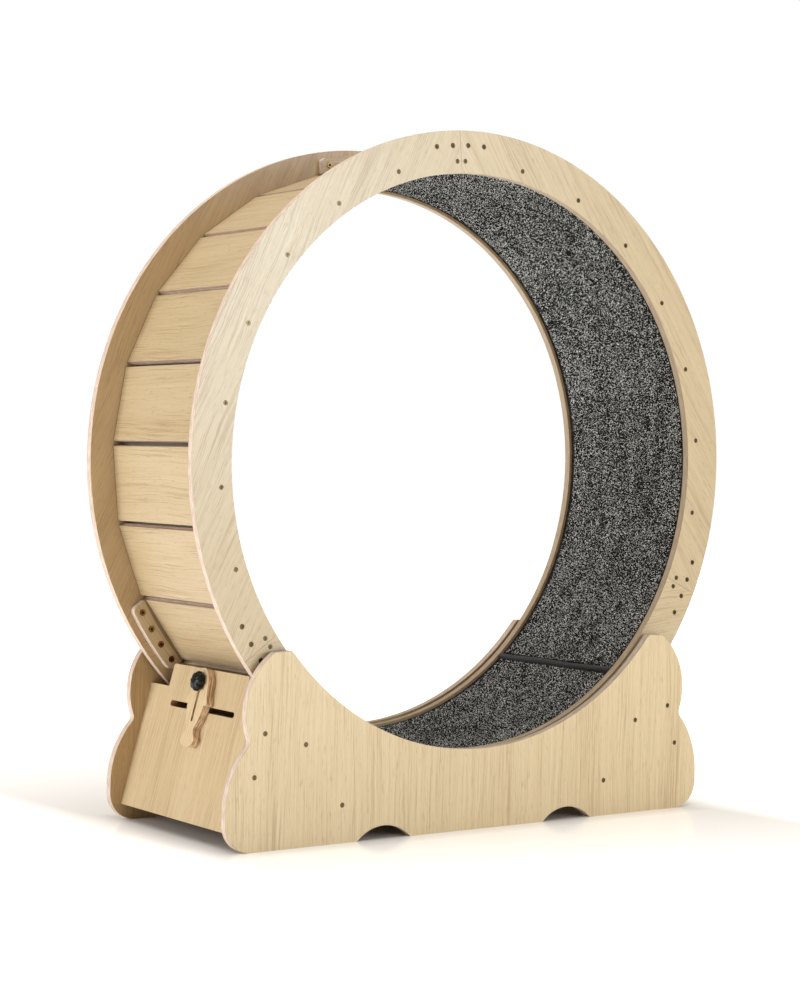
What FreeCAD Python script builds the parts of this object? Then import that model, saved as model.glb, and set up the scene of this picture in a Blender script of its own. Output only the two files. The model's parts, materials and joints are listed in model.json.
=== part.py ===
"""Exercise wheel for a pet: two flat wooden rings joined by slats and lined with carpet,
running on four grooved rollers in a low wooden base, with a sliding lock on its left end.

Frame: millimetres, origin on the floor under the middle of the base, +X to the right along
the base, +Y away from the near side, +Z up.  The wheel's axis is parallel to Y.
"""
import FreeCAD, Part
import math
import os
import Sketcher

V = FreeCAD.Vector
Rotation = FreeCAD.Rotation
Placement = FreeCAD.Placement

# ---------------------------------------------------------------------------
# Driving dimensions, in millimetres, degrees and counts
# ---------------------------------------------------------------------------
SIZES = (
    # wheel
    ("ring_outer_radius", 500.0),
    ("ring_width", 64.0),              # radial width of a ring's board
    ("ring_board", 12.0),              # thickness of a ring's board
    ("wheel_width", 311.0),            # outer face to outer face of the two rings
    ("wheel_lift", 56.3),              # lowest point of the rings above the floor
    ("joint_angle", 95.2),             # first butt joint of a ring, counted from +X
    ("joint_gap", 0.4),                # hairline between two ring segments
    ("slats_per_segment", 8),
    ("slat_board", 12.0),
    ("slat_inset", 18.0),              # slat's middle outside the ring's inner edge
    ("slat_gap", 8.0),                 # between the outer corners of two slats
    ("slat_edge_round", 1.0),
    ("joint_screw_offset", 7.5),       # a joint's slat screws, each side of the joint
    ("joint_plate_board", 12.0),
    ("joint_plate_half_length", 58.0),
    ("joint_plate_inset", 10.5),       # its outer edge inside the ring's outer edge
    ("joint_plate_corner", 8.0),
    ("joint_bolt_inset", 22.4),        # bolt line inside the ring's outer edge
    ("joint_bolt_inner_offset", 14.6),
    ("joint_bolt_outer_offset", 44.6),
    ("carpet_thickness", 8.3),
    ("carpet_clearance", 0.3),         # carpet to slats and to rings
    ("seam_angle", 310.5),
    ("seam_gap", 1.5),
    ("binding_width", 9.0),
    ("binding_stand", 1.8),            # how far the bound edge stands proud of the carpet
    # base boards
    ("base_board", 12.0),
    ("side_gap", 6.75),                # ring's outer face to the side panel
    ("cradle_margin", 4.9),            # cradle arc's radius over the ring's inner radius
    ("cradle_rise", 6.6),              # cradle arc's centre above the wheel's axis
    ("foot_margin", 27.0),             # outline outside the end panel at the foot
    ("foot_corner", 42.0),
    ("foot_side_height", 58.0),
    ("foot_bulge_height", 101.0),
    ("foot_bulge_drop", 7.2),          # bulge inside the foot's widest point
    ("waist_height", 155.0),
    ("waist_margin", 15.5),
    ("waist_round", 7.0),              # half the height of the waist's rounded notch
    ("waist_flare_below", 3.6),        # outline outside the waist, that much below it
    ("waist_flare_above", 1.0),
    ("shoulder_height", 207.0),
    ("shoulder_margin", 36.0),
    ("crown_height", 283.0),
    ("crown_shoulder_drop", 6.0),      # where the shoulder arc meets the crown
    ("crown_fall", 1.5),               # the crown's fall towards the shoulder
    ("crown_width", 35.0),
    ("crown_nose", 5.0),
    ("arch_offset", 175.0),
    ("arch_half_width", 48.0),
    ("arch_height", 20.0),
    # end panels
    ("end_tilt", 15.45),
    ("end_reach", 8.7),                # inner corner of the shelf outside the rings
    ("end_angle", 43.7),               # that corner below the level of the wheel's axis
    ("end_depth", 190.0),              # shelf down to the lower edge, along the board
    ("end_lower_screw", 104.0),
    ("end_upper_screw", 40.4),
    ("tongue_half_width", 108.0),
    ("tongue_height", 35.0),
    ("tongue_corner", 4.0),
    ("hand_slot_half_length", 91.5),
    ("hand_slot_height", 9.0),
    ("hand_slot_drop", 24.5),          # its middle below the shelf
    # roller boards, brackets and rollers
    ("roller_angle", 28.4),            # roller from the vertical through the wheel's axis
    ("roller_tilt", 35.1),             # roller board from the vertical
    ("roller_board_below", 60.7),      # board's length down from the roller
    ("roller_board_above", 94.8),
    ("roller_lower_screw", 35.7),
    ("roller_upper_screw", 76.8),
    ("roller_tread_radius", 15.0),
    ("roller_flange", 5.0),            # flange height over the tread
    ("roller_flange_thickness", 2.2),
    ("roller_flange_lead", 0.7),       # slope at a flange's foot and rim
    ("roller_groove_clearance", 0.6),  # ring's face to the flange
    ("roller_tread_clearance", 0.3),
    ("roller_side_clearance", 0.5),
    ("axle_height", 25.5),             # axle above the roller board's face
    ("axle_radius", 3.0),
    ("axle_head_radius", 5.0),
    ("axle_head_height", 1.3),
    ("axle_nut_flats", 10.0),
    ("axle_nut_height", 5.0),
    ("axle_end", 1.0),                 # axle's end past its nut
    ("sleeve_radius", 4.5),
    ("running_clearance", 0.1),
    ("bracket_sheet", 1.5),
    ("bracket_half_length", 30.0),
    ("bracket_leg_half_width", 12.0),
    ("bracket_leg_round", 8.0),
    ("bracket_screw_offset", 22.0),
    # wood screws and joint bolts
    ("screw_head_radius", 3.8),
    ("screw_shank_radius", 1.75),
    ("slat_screw_length", 38.0),
    ("side_screw_length", 40.0),
    ("bracket_screw_length", 11.0),
    ("screw_clearance", 0.1),
    ("pilot_spare", 2.0),              # pilot hole deeper than its screw
    ("screw_point_radius", 0.3),
    ("screw_point_length", 3.5),
    ("recess_length", 4.4),
    ("recess_width", 1.0),
    ("recess_depth", 1.7),
    ("bolt_head_radius", 4.0),
    ("bolt_head_height", 2.2),
    ("bolt_head_sink", 0.8),
    ("bolt_radius", 2.0),
    ("bolt_end_gap", 4.0),             # bolt's end short of the joint plate's back
    ("bolt_socket_flats", 2.5),
    ("bolt_socket_depth", 1.4),
    ("nut_barrel_radius", 3.2),
    ("nut_barrel_length", 9.0),
    ("nut_flange_radius", 5.0),
    ("nut_flange_height", 1.2),
    # sliding lock
    ("lock_board", 12.0),
    ("lock_clearance", 0.2),
    ("lock_stud_drop", 21.3),          # stud below the top of the tongue
    ("lock_slot_half_width", 2.8),
    ("lock_slot_length", 57.0),
    ("lock_slat_clearance", 0.6),
    ("lock_top_half_width", 5.0),
    ("lock_head_half_width", 22.5),
    ("lock_head_drop", 24.0),          # each drop is counted down from the plate's top
    ("lock_shoulder_half_width", 31.0),
    ("lock_shoulder_drop", 52.0),
    ("lock_shoulder_edge", 2.5),
    ("lock_body_half_width", 22.8),
    ("lock_waist_half_width", 10.6),
    ("lock_waist_drop", 90.0),
    ("lock_tail_half_width", 18.6),
    ("lock_tail_drop", 105.0),
    ("lock_tail_corner", 13.0),
    ("lock_length", 118.5),
    ("lock_head_bow", 3.1),            # how far each curve stands off its chord
    ("lock_shoulder_bow", 2.5),
    ("lock_body_bow", 2.4),
    ("lock_tail_bow", 2.0),
    ("stud_radius", 2.5),
    ("washer_radius", 6.5),
    ("washer_thickness", 0.8),
    ("knob_radius", 15.0),
    ("knob_height", 13.4),
    ("knob_foot_inset", 2.5),          # its underside inside its rim
    ("knob_rim_start", 2.0),
    ("knob_rim_end", 8.6),
    ("knob_dome_radius", 9.0),         # where its rounded shoulder ends
    ("knob_dome_drop", 0.4),
    ("knob_dome_bow", 1.3),
    ("knob_lobes", 8),
    ("knob_scallop_radius", 3.6),
    ("knob_scallop_offset", 16.6),
    ("insert_barrel_radius", 3.3),
    ("insert_barrel_length", 8.0),
    ("insert_flange_radius", 8.5),
    ("insert_flange_height", 1.0),
)

SEGMENTS = 3                           # a ring is made of three arcs of board
OVERCUT = 1.0                          # how far a cutting tool reaches past what it cuts
PARALLEL = 0.9                         # cosine over which an edge counts as parallel to an axis

doc = FreeCAD.newDocument("ExerciseWheel")
sheet = doc.addObject("Spreadsheet::Sheet", "Sizes")
for row, (alias, number) in enumerate(SIZES, start=1):
    sheet.set("A%d" % row, alias)
    sheet.set("B%d" % row, str(number))
    sheet.setAlias("B%d" % row, alias)
doc.recompute()


def size(alias):
    """One driving dimension, as the sheet holds it."""
    return float(sheet.get(alias))


# ---------------------------------------------------------------------------
# Sizes that follow from the driving ones
# ---------------------------------------------------------------------------
AXIS_HEIGHT = size("ring_outer_radius") + size("wheel_lift")
RING_INNER = size("ring_outer_radius") - size("ring_width")
SLAT_COUNT = SEGMENTS * int(size("slats_per_segment"))
SLAT_PITCH = 360.0 / SLAT_COUNT
SLAT_MIDDLE = RING_INNER + size("slat_inset")
SLAT_OUTER = SLAT_MIDDLE + size("slat_board") / 2
SLAT_INNER = SLAT_MIDDLE - size("slat_board") / 2
SLAT_WIDTH = 2 * SLAT_OUTER * math.tan(math.radians(SLAT_PITCH / 2)) - size("slat_gap")
RING_FACE = size("wheel_width") / 2
RING_BACK = RING_FACE - size("ring_board")
RING_MIDDLE = RING_FACE - size("ring_board") / 2
SIDE_FACE = RING_FACE + size("side_gap") + size("base_board")
SIDE_BACK = RING_FACE + size("side_gap")
BOLT_RADIUS = size("ring_outer_radius") - size("joint_bolt_inset")
CARPET_OUTER = SLAT_INNER - size("carpet_clearance")
CARPET_INNER = CARPET_OUTER - size("carpet_thickness")
CARPET_LENGTH = 2 * (RING_BACK - size("carpet_clearance"))
JOINTS = [size("joint_angle") + 360.0 / SEGMENTS * k for k in range(SEGMENTS)]
GROOVE_HALF = size("ring_board") / 2 + size("roller_groove_clearance")
ROLLER_HALF = GROOVE_HALF + size("roller_flange_thickness")
SLEEVE_HALF = ROLLER_HALF + size("roller_side_clearance")
BRACKET_HALF = SLEEVE_HALF + size("bracket_sheet")
TONGUE_TOP = size("tongue_height")
STUD_UP = TONGUE_TOP - size("lock_stud_drop")

# The same widths across a roller, as expressions on the sheet
SLEEVE_WIDTH = ("2*(Sizes.ring_board/2+Sizes.roller_groove_clearance"
                "+Sizes.roller_flange_thickness+Sizes.roller_side_clearance)")
BRACKET_WIDTH = SLEEVE_WIDTH + "+2*Sizes.bracket_sheet"
PILOT_RADIUS = "Sizes.screw_shank_radius+Sizes.screw_clearance"
PILOT_DEPTH = "Sizes.slat_screw_length-Sizes.ring_board+Sizes.pilot_spare"

# ---------------------------------------------------------------------------
# Local frames: a board's seen face is its z = 0 plane, and the board lies below it
# ---------------------------------------------------------------------------
NEAR_TURN = Rotation(V(1, 0, 0), 90)
SIDES = {"near": NEAR_TURN, "far": Rotation(V(0, 0, 1), 180).multiply(NEAR_TURN)}
SIDE_SIGN = {"near": -1, "far": 1}
ENDS = {"left": -1, "right": 1}


def polar(radius, degrees):
    """A point of a board's own plane, from its radius and angle."""
    turn = math.radians(degrees)
    return V(radius * math.cos(turn), radius * math.sin(turn), 0)


def mirrored(point):
    """A point of a board's own plane, on the other side of its middle."""
    return V(-point.x, point.y, 0)


def board_frame(origin, up, outward):
    """A frame whose y runs up a board and whose z points out of its seen face."""
    return Placement(origin, Rotation(up.cross(outward), up, outward, "ZYX"))


def wheel_frame(side, depth, degrees=0.0):
    """A frame on one side of the wheel, at a depth from the mid-plane."""
    base = Placement(V(0, SIDE_SIGN[side] * depth, AXIS_HEIGHT), SIDES[side])
    return base.multiply(Placement(V(), Rotation(V(0, 0, 1), degrees)))


def local_angle(side, degrees):
    """An angle counted from +X on the near side, as that side's own frame counts it."""
    return degrees if side == "near" else 180.0 - degrees


def end_frame(end):
    """The outer face of an end panel, with its origin at the middle of the shelf."""
    sign = ENDS[end]
    tilt = math.radians(size("end_tilt"))
    up = V(-sign * math.sin(tilt), 0, math.cos(tilt))
    outward = V(sign * math.cos(tilt), 0, math.sin(tilt))
    reach = size("ring_outer_radius") + size("end_reach")
    below = math.radians(size("end_angle"))
    corner = V(sign * reach * math.cos(below), 0, AXIS_HEIGHT - reach * math.sin(below))
    return board_frame(corner + outward * size("base_board"), up, outward)


def roller_frame(end):
    """The wheel's side of a roller board, with its origin under the roller's axle."""
    sign = ENDS[end]
    tilt = math.radians(size("roller_tilt"))
    up = V(sign * math.sin(tilt), 0, math.cos(tilt))
    outward = V(-sign * math.cos(tilt), 0, math.sin(tilt))
    reach = size("ring_outer_radius") + size("roller_tread_clearance")
    reach += size("roller_tread_radius")
    turn = math.radians(size("roller_angle"))
    centre = V(sign * reach * math.sin(turn), 0, AXIS_HEIGHT - reach * math.cos(turn))
    return board_frame(centre - outward * size("axle_height"), up, outward)


# ---------------------------------------------------------------------------
# Building blocks
# ---------------------------------------------------------------------------
NODES = []                             # every finished piece, in the order it is made


def new_body(label):
    body = doc.addObject("PartDesign::Body", label)
    body.Label = label
    return body


def new_sketch(body, name, role="XY_Plane", lift=0.0):
    """An empty sketch on one of the body's own planes."""
    sketch = body.newObject("Sketcher::SketchObject", name)
    planes = [plane for plane in body.Origin.OriginFeatures if plane.Role == role]
    sketch.AttachmentSupport = [(planes[0], "")]
    sketch.MapMode = "FlatFace"
    sketch.AttachmentOffset = Placement(V(0, 0, lift), Rotation())
    return sketch


def draw_outline(sketch, start, steps):
    """A closed outline: each step is an end point, or (through, end) for an arc."""
    first = sketch.GeometryCount
    here = start
    for step in steps:
        if isinstance(step, tuple):
            through, there = step
            sketch.addGeometry(Part.Arc(here, through, there), False)
        else:
            there = step
            sketch.addGeometry(Part.LineSegment(here, there), False)
        here = there
    for index in range(first, sketch.GeometryCount):
        sketch.addConstraint(Sketcher.Constraint("Block", index))


def left_half(start, right):
    """The left half of an outline, from its end back to its start."""
    ends = [start] + [step[1] if isinstance(step, tuple) else step for step in right]
    left = []
    for step, before in zip(reversed(right), reversed(ends[:-1])):
        if isinstance(step, tuple):
            left.append((mirrored(step[0]), mirrored(before)))
        else:
            left.append(mirrored(before))
    return left


def draw_circles(sketch, centres, radius):
    """Circles of one radius, which is an expression on the sheet."""
    first = None
    for centre in centres:
        index = sketch.addGeometry(Part.Circle(centre, V(0, 0, 1), 1.0), False)
        sketch.addConstraint(Sketcher.Constraint("DistanceX", -1, 1, index, 3, centre.x))
        sketch.addConstraint(Sketcher.Constraint("DistanceY", -1, 1, index, 3, centre.y))
        if first is None:
            first = index
            constraint = sketch.addConstraint(Sketcher.Constraint("Radius", index, 1.0))
            sketch.setExpression("Constraints[%d]" % constraint, radius)
        else:
            sketch.addConstraint(Sketcher.Constraint("Equal", first, index))


def pad(body, sketch, length, name, down=False, both_ways=False):
    feature = body.newObject("PartDesign::Pad", name)
    feature.Profile = sketch
    feature.Reversed = down
    feature.Midplane = both_ways
    feature.setExpression("Length", length)
    doc.recompute()
    return feature


def cut(body, feature):
    """Recompute a cutting feature, turned round if it points away from the solid."""
    before = feature.BaseFeature.Shape.Volume
    doc.recompute()
    if body.Shape.Volume > before - 1e-3:
        feature.Reversed = not feature.Reversed
        doc.recompute()
    return feature


def pocket(body, sketch, name, depth=None, both_ways=False):
    """A pocket of a given depth, or right through where none is given."""
    feature = body.newObject("PartDesign::Pocket", name)
    feature.Profile = sketch
    feature.Midplane = both_ways
    if depth is None:
        feature.Type = "ThroughAll"
    else:
        feature.setExpression("Length", depth)
    return cut(body, feature)


def countersunk_holes(body, sketch, name):
    """Screw holes through a board, countersunk in its seen face."""
    doc.recompute()
    feature = body.newObject("PartDesign::Hole", name)
    feature.Profile = sketch
    doc.recompute()
    feature.ThreadType = "None"
    feature.DepthType = "ThroughAll"
    feature.HoleCutType = "Countersink"
    feature.HoleCutCustomValues = True
    feature.HoleCutCountersinkAngle = 90
    feature.setExpression("Diameter", "2*(Sizes.screw_shank_radius+Sizes.screw_clearance)")
    feature.setExpression("HoleCutDiameter", "2*(Sizes.screw_head_radius+Sizes.screw_clearance)")
    return cut(body, feature)


def counterbored_holes(body, sketch, name):
    """Bolt holes through a board, counterbored in its seen face."""
    doc.recompute()
    feature = body.newObject("PartDesign::Hole", name)
    feature.Profile = sketch
    doc.recompute()
    feature.ThreadType = "None"
    feature.DepthType = "ThroughAll"
    feature.HoleCutType = "Counterbore"
    feature.HoleCutCustomValues = True
    feature.setExpression("Diameter", "2*(Sizes.bolt_radius+Sizes.screw_clearance)")
    feature.setExpression("HoleCutDiameter", "2*(Sizes.bolt_head_radius+Sizes.screw_clearance)")
    feature.setExpression("HoleCutDepth", "Sizes.bolt_head_height+Sizes.bolt_head_sink")
    return cut(body, feature)


def cylinder(radius, height, place=Placement()):
    """A Part cylinder whose radius and height are expressions on the sheet."""
    rod = doc.addObject("Part::Cylinder", "Rod")
    rod.setExpression("Radius", radius)
    rod.setExpression("Height", height)
    rod.Placement = place
    return rod


def group(label, piece, places):
    """Copies of one small piece, as separate solids of one node."""
    node = doc.addObject("Part::Feature", label)
    copies = []
    for place in places:
        copy = piece.Shape.copy()
        copy.Placement = place.multiply(piece.Placement)
        copies.append(copy)
    node.Shape = Part.makeCompound(copies)
    node.Label = label
    NODES.append(node)
    return node


def keep(piece, place=None):
    """Enter a finished piece in the list of nodes."""
    if place is not None:
        piece.Placement = place
    NODES.append(piece)
    return piece


# ---------------------------------------------------------------------------
# Wheel
# ---------------------------------------------------------------------------
def screw_spots():
    """Screws of one segment, from its first joint: (radius, angle) in its board."""
    aside = math.degrees(math.atan2(size("joint_screw_offset"), SLAT_MIDDLE))
    span = 360.0 / SEGMENTS
    turns = [SLAT_PITCH * k for k in range(1, int(size("slats_per_segment")))]
    return [polar(SLAT_MIDDLE, turn) for turn in [aside] + turns + [span - aside]]


def joint_bolt_turns():
    """Angles of a joint's bolts on one side of the joint."""
    offsets = (size("joint_bolt_inner_offset"), size("joint_bolt_outer_offset"))
    return [math.degrees(math.asin(offset / BOLT_RADIUS)) for offset in offsets]


def ring_segment(label, place):
    """A third of a ring: an arc of board with its screw and bolt holes."""
    body = new_body(label)
    outer = size("ring_outer_radius")
    span = 360.0 / SEGMENTS
    trim = size("joint_gap") / 2
    outer_trim = math.degrees(math.asin(trim / outer))
    inner_trim = math.degrees(math.asin(trim / RING_INNER))
    outline = new_sketch(body, "Arc")
    draw_outline(outline, polar(outer, outer_trim), [
        (polar(outer, span / 2), polar(outer, span - outer_trim)),
        polar(RING_INNER, span - inner_trim),
        (polar(RING_INNER, span / 2), polar(RING_INNER, inner_trim)),
        polar(outer, outer_trim)])
    pad(body, outline, "Sizes.ring_board", "Board", down=True)
    screws = new_sketch(body, "ScrewCentres")
    draw_circles(screws, screw_spots(), "Sizes.screw_shank_radius")
    countersunk_holes(body, screws, "ScrewHoles")
    bolts = new_sketch(body, "BoltCentres")
    turns = joint_bolt_turns()
    spots = [polar(BOLT_RADIUS, turn) for turn in turns + [span - turn for turn in turns]]
    draw_circles(bolts, spots, "Sizes.bolt_radius")
    counterbored_holes(body, bolts, "BoltHoles")
    return keep(body, place)


def slat(label, turn, at_joint):
    """A running board: its ends stand on the rings, with a pilot hole for each screw."""
    blank = doc.addObject("Part::Box", "Blank")
    blank.Length = SLAT_WIDTH
    blank.setExpression("Width", "Sizes.wheel_width-2*Sizes.ring_board")
    blank.setExpression("Height", "Sizes.slat_board")
    blank.Placement = Placement(V(-SLAT_WIDTH / 2, -RING_BACK, -size("slat_board") / 2), Rotation())
    doc.recompute()
    long_edges = [number for number, edge in enumerate(blank.Shape.Edges, start=1)
                  if runs_across(edge)]
    rounded = doc.addObject("Part::Fillet", "Rounded")
    rounded.Base = blank
    rounded.Edges = [(number, size("slat_edge_round"), size("slat_edge_round"))
                     for number in long_edges]
    aside = size("joint_screw_offset")
    pilots = []
    for offset in ((-aside, aside) if at_joint else (0,)):
        for end in (-1, 1):
            spot = Placement(V(offset, end * RING_BACK, 0), Rotation(V(1, 0, 0), end * 90))
            pilots.append(cylinder(PILOT_RADIUS, PILOT_DEPTH, spot))
    drilled = doc.addObject("Part::Cut", label)
    drilled.Label = label
    holes = doc.addObject("Part::MultiFuse", "Pilots")
    holes.Shapes = pilots
    drilled.Base = rounded
    drilled.Tool = holes
    spoke = Placement(V(0, 0, AXIS_HEIGHT), Rotation(V(0, 1, 0), 90 - turn))
    return keep(drilled, spoke.multiply(Placement(V(0, 0, SLAT_MIDDLE), Rotation())))


def joint_plate(label):
    """Plate behind a ring's joint: straight on the slat, curved along the ring."""
    body = new_body(label)
    half = size("joint_plate_half_length")
    outer = size("ring_outer_radius") - size("joint_plate_inset")
    foot = SLAT_OUTER
    corner = size("joint_plate_corner")
    across = half - corner
    centre = V(across, math.sqrt((outer - corner) ** 2 - across ** 2), 0)
    turn = math.degrees(math.atan2(centre.y, centre.x))
    cheek = V(half, centre.y, 0)
    middle = centre + polar(corner, turn / 2)
    shoulder = polar(outer, turn)
    outline = new_sketch(body, "Outline")
    draw_outline(outline, V(-half, foot, 0), [
        V(half, foot, 0),
        cheek,
        (middle, shoulder),
        (V(0, outer, 0), mirrored(shoulder)),
        (mirrored(middle), mirrored(cheek)),
        V(-half, foot, 0)])
    pad(body, outline, "Sizes.joint_plate_board", "Board", down=True)
    bolts = new_sketch(body, "BoltCentres")
    turns = joint_bolt_turns()
    spots = [polar(BOLT_RADIUS, 90 + turn) for turn in turns + [-turn for turn in turns]]
    draw_circles(bolts, spots, "Sizes.nut_barrel_radius+Sizes.screw_clearance")
    pocket(body, bolts, "NutHoles")
    return body


def carpet():
    """The running surface: a closed strip of carpet on the slats' inner faces."""
    lying = Rotation(V(1, 0, 0), -90)
    start = V(0, -CARPET_LENGTH / 2, AXIS_HEIGHT)
    full = doc.addObject("Part::Cylinder", "CarpetOuter")
    full.Radius = CARPET_OUTER
    full.Height = CARPET_LENGTH
    full.Placement = Placement(start, lying)
    bore = doc.addObject("Part::Cylinder", "CarpetBore")
    bore.Radius = CARPET_INNER
    bore.Height = CARPET_LENGTH + 2 * OVERCUT
    bore.Placement = Placement(start - V(0, OVERCUT, 0), lying)
    strip = doc.addObject("Part::Cut", "CarpetStrip")
    strip.Base = full
    strip.Tool = bore
    seam = doc.addObject("Part::Box", "Seam")
    seam.setExpression("Length", "Sizes.binding_width+2*Sizes.seam_gap")
    seam.Width = CARPET_LENGTH + 2 * OVERCUT
    spare = size("carpet_thickness")
    seam.Height = spare + size("carpet_thickness") + spare
    corner = binding_corner() - V(size("seam_gap"), OVERCUT, spare)
    seam.Placement = seam_frame().multiply(Placement(corner, Rotation()))
    open_strip = doc.addObject("Part::Cut", "carpet")
    open_strip.Base = strip
    open_strip.Tool = seam
    return keep(open_strip)


def seam_frame():
    """A frame on the wheel's axis whose z points out through the carpet's seam."""
    return Placement(V(0, 0, AXIS_HEIGHT), Rotation(V(0, 1, 0), 90 - size("seam_angle")))


def binding_corner():
    """Lowest corner of the bound edge where it meets the carpet's face, in the seam's frame."""
    return V(-size("binding_width") - size("seam_gap") / 2, -CARPET_LENGTH / 2, CARPET_INNER)


def carpet_binding():
    """The bound end of the carpet, a little proud of the pile."""
    bar = doc.addObject("Part::Box", "BindingBar")
    bar.setExpression("Length", "Sizes.binding_width")
    bar.Width = CARPET_LENGTH
    bar.setExpression("Height", "Sizes.carpet_thickness+Sizes.binding_stand")
    corner = binding_corner() - V(0, 0, size("binding_stand"))
    bar.Placement = seam_frame().multiply(Placement(corner, Rotation()))
    doc.recompute()
    inner_edges = [number for number, edge in enumerate(bar.Shape.Edges, start=1)
                   if runs_across(edge) and radius_of(edge.CenterOfMass) < CARPET_INNER]
    rounded = doc.addObject("Part::Fillet", "carpet_binding")
    rounded.Base = bar
    rounded.Edges = [(number, size("binding_stand"), size("binding_stand"))
                     for number in inner_edges]
    return keep(rounded)


def runs_across(edge):
    """Whether a straight edge is parallel to the wheel's axis."""
    return abs(edge.tangentAt(edge.FirstParameter).y) > PARALLEL


def radius_of(point):
    """Distance of a point from the wheel's axis."""
    return math.hypot(point.x, point.z - AXIS_HEIGHT)


# ---------------------------------------------------------------------------
# Fasteners: each lies along its own z, with the top of its head at z = 0
# ---------------------------------------------------------------------------
def wood_screw(length):
    """Countersunk screw with a cross recess and a pointed end."""
    head = doc.addObject("Part::Cone", "Head")
    head.setExpression("Radius1", "Sizes.screw_shank_radius")
    head.setExpression("Radius2", "Sizes.screw_head_radius")
    head.setExpression("Height", "Sizes.screw_head_radius-Sizes.screw_shank_radius")
    depth = size("screw_head_radius") - size("screw_shank_radius")
    head.Placement = Placement(V(0, 0, -depth), Rotation())
    point = size("screw_point_length")
    shank = doc.addObject("Part::Cylinder", "Shank")
    shank.setExpression("Radius", "Sizes.screw_shank_radius")
    shank.Height = size(length) - depth - point
    shank.Placement = Placement(V(0, 0, -size(length) + point), Rotation())
    tip = doc.addObject("Part::Cone", "Tip")
    tip.setExpression("Radius1", "Sizes.screw_point_radius")
    tip.setExpression("Radius2", "Sizes.screw_shank_radius")
    tip.setExpression("Height", "Sizes.screw_point_length")
    tip.Placement = Placement(V(0, 0, -size(length)), Rotation())
    whole = doc.addObject("Part::MultiFuse", "ScrewBlank")
    whole.Shapes = [head, shank, tip]
    return recessed(whole)


def recessed(blank):
    """The blank with a cross recess in its head."""
    bars = []
    for turn in (0, 90):
        bar = doc.addObject("Part::Box", "RecessBar")
        bar.setExpression("Length", "Sizes.recess_length")
        bar.setExpression("Width", "Sizes.recess_width")
        bar.Height = size("recess_depth") + OVERCUT
        corner = V(-size("recess_length") / 2, -size("recess_width") / 2, -size("recess_depth"))
        bar.Placement = Placement(V(), Rotation(V(0, 0, 1), turn)).multiply(Placement(corner, Rotation()))
        bars.append(bar)
    cross = doc.addObject("Part::MultiFuse", "Cross")
    cross.Shapes = bars
    screw = doc.addObject("Part::Cut", "Screw")
    screw.Base = blank
    screw.Tool = cross
    doc.recompute()
    return screw


def joint_bolt():
    """Flat-headed bolt with a hexagon socket, from the ring's face into the nut."""
    body = new_body("JointBolt")
    length = "Sizes.ring_board+Sizes.joint_plate_board-Sizes.bolt_head_sink-Sizes.bolt_end_gap"
    head = new_sketch(body, "Head")
    draw_circles(head, [V()], "Sizes.bolt_head_radius")
    pad(body, head, "Sizes.bolt_head_height", "HeadPad", down=True)
    shank = new_sketch(body, "Shank")
    draw_circles(shank, [V()], "Sizes.bolt_radius")
    pad(body, shank, length, "ShankPad", down=True)
    socket = new_sketch(body, "Socket")
    draw_hexagon(socket, size("bolt_socket_flats"))
    pocket(body, socket, "SocketPocket", "Sizes.bolt_socket_depth")
    return body


def draw_hexagon(sketch, flats):
    corners = [polar(flats / math.sqrt(3), 60 * k) for k in range(7)]
    draw_outline(sketch, corners[0], corners[1:])


def flanged_nut(kind, bore):
    """Nut with a round flange at z = 0 and above, and a barrel below it."""
    body = new_body(kind.capitalize())
    disc = new_sketch(body, "Flange")
    draw_circles(disc, [V()], "Sizes.%s_flange_radius" % kind)
    pad(body, disc, "Sizes.%s_flange_height" % kind, "FlangePad")
    stem = new_sketch(body, "Barrel")
    draw_circles(stem, [V()], "Sizes.%s_barrel_radius" % kind)
    pad(body, stem, "Sizes.%s_barrel_length" % kind, "BarrelPad", down=True)
    thread = new_sketch(body, "Thread", lift=size(kind + "_flange_height"))
    draw_circles(thread, [V()], bore)
    pocket(body, thread, "ThreadBore")
    return body


# ---------------------------------------------------------------------------
# Base
# ---------------------------------------------------------------------------
def outer_face_at(height):
    """How far from the middle an end panel's outer face is, at a height."""
    frame = end_frame("right")
    tilt = math.radians(size("end_tilt"))
    return frame.Base.x + (frame.Base.z - height) * math.tan(tilt)


def end_screw_points():
    """The end panels' screws on a side panel, as (x, height) points."""
    points = []
    for end in ENDS:
        for drop in (size("end_lower_screw"), size("end_upper_screw")):
            spot = end_frame(end).multVec(V(0, -drop, -size("base_board") / 2))
            points.append(V(spot.x, spot.z, 0))
    return points


def roller_screw_points():
    """The roller boards' screws on a side panel, as (x, height) points."""
    points = []
    for end in ENDS:
        for rise in (-size("roller_lower_screw"), size("roller_upper_screw")):
            spot = roller_frame(end).multVec(V(0, rise, -size("base_board") / 2))
            points.append(V(spot.x, spot.z, 0))
    return points


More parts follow.
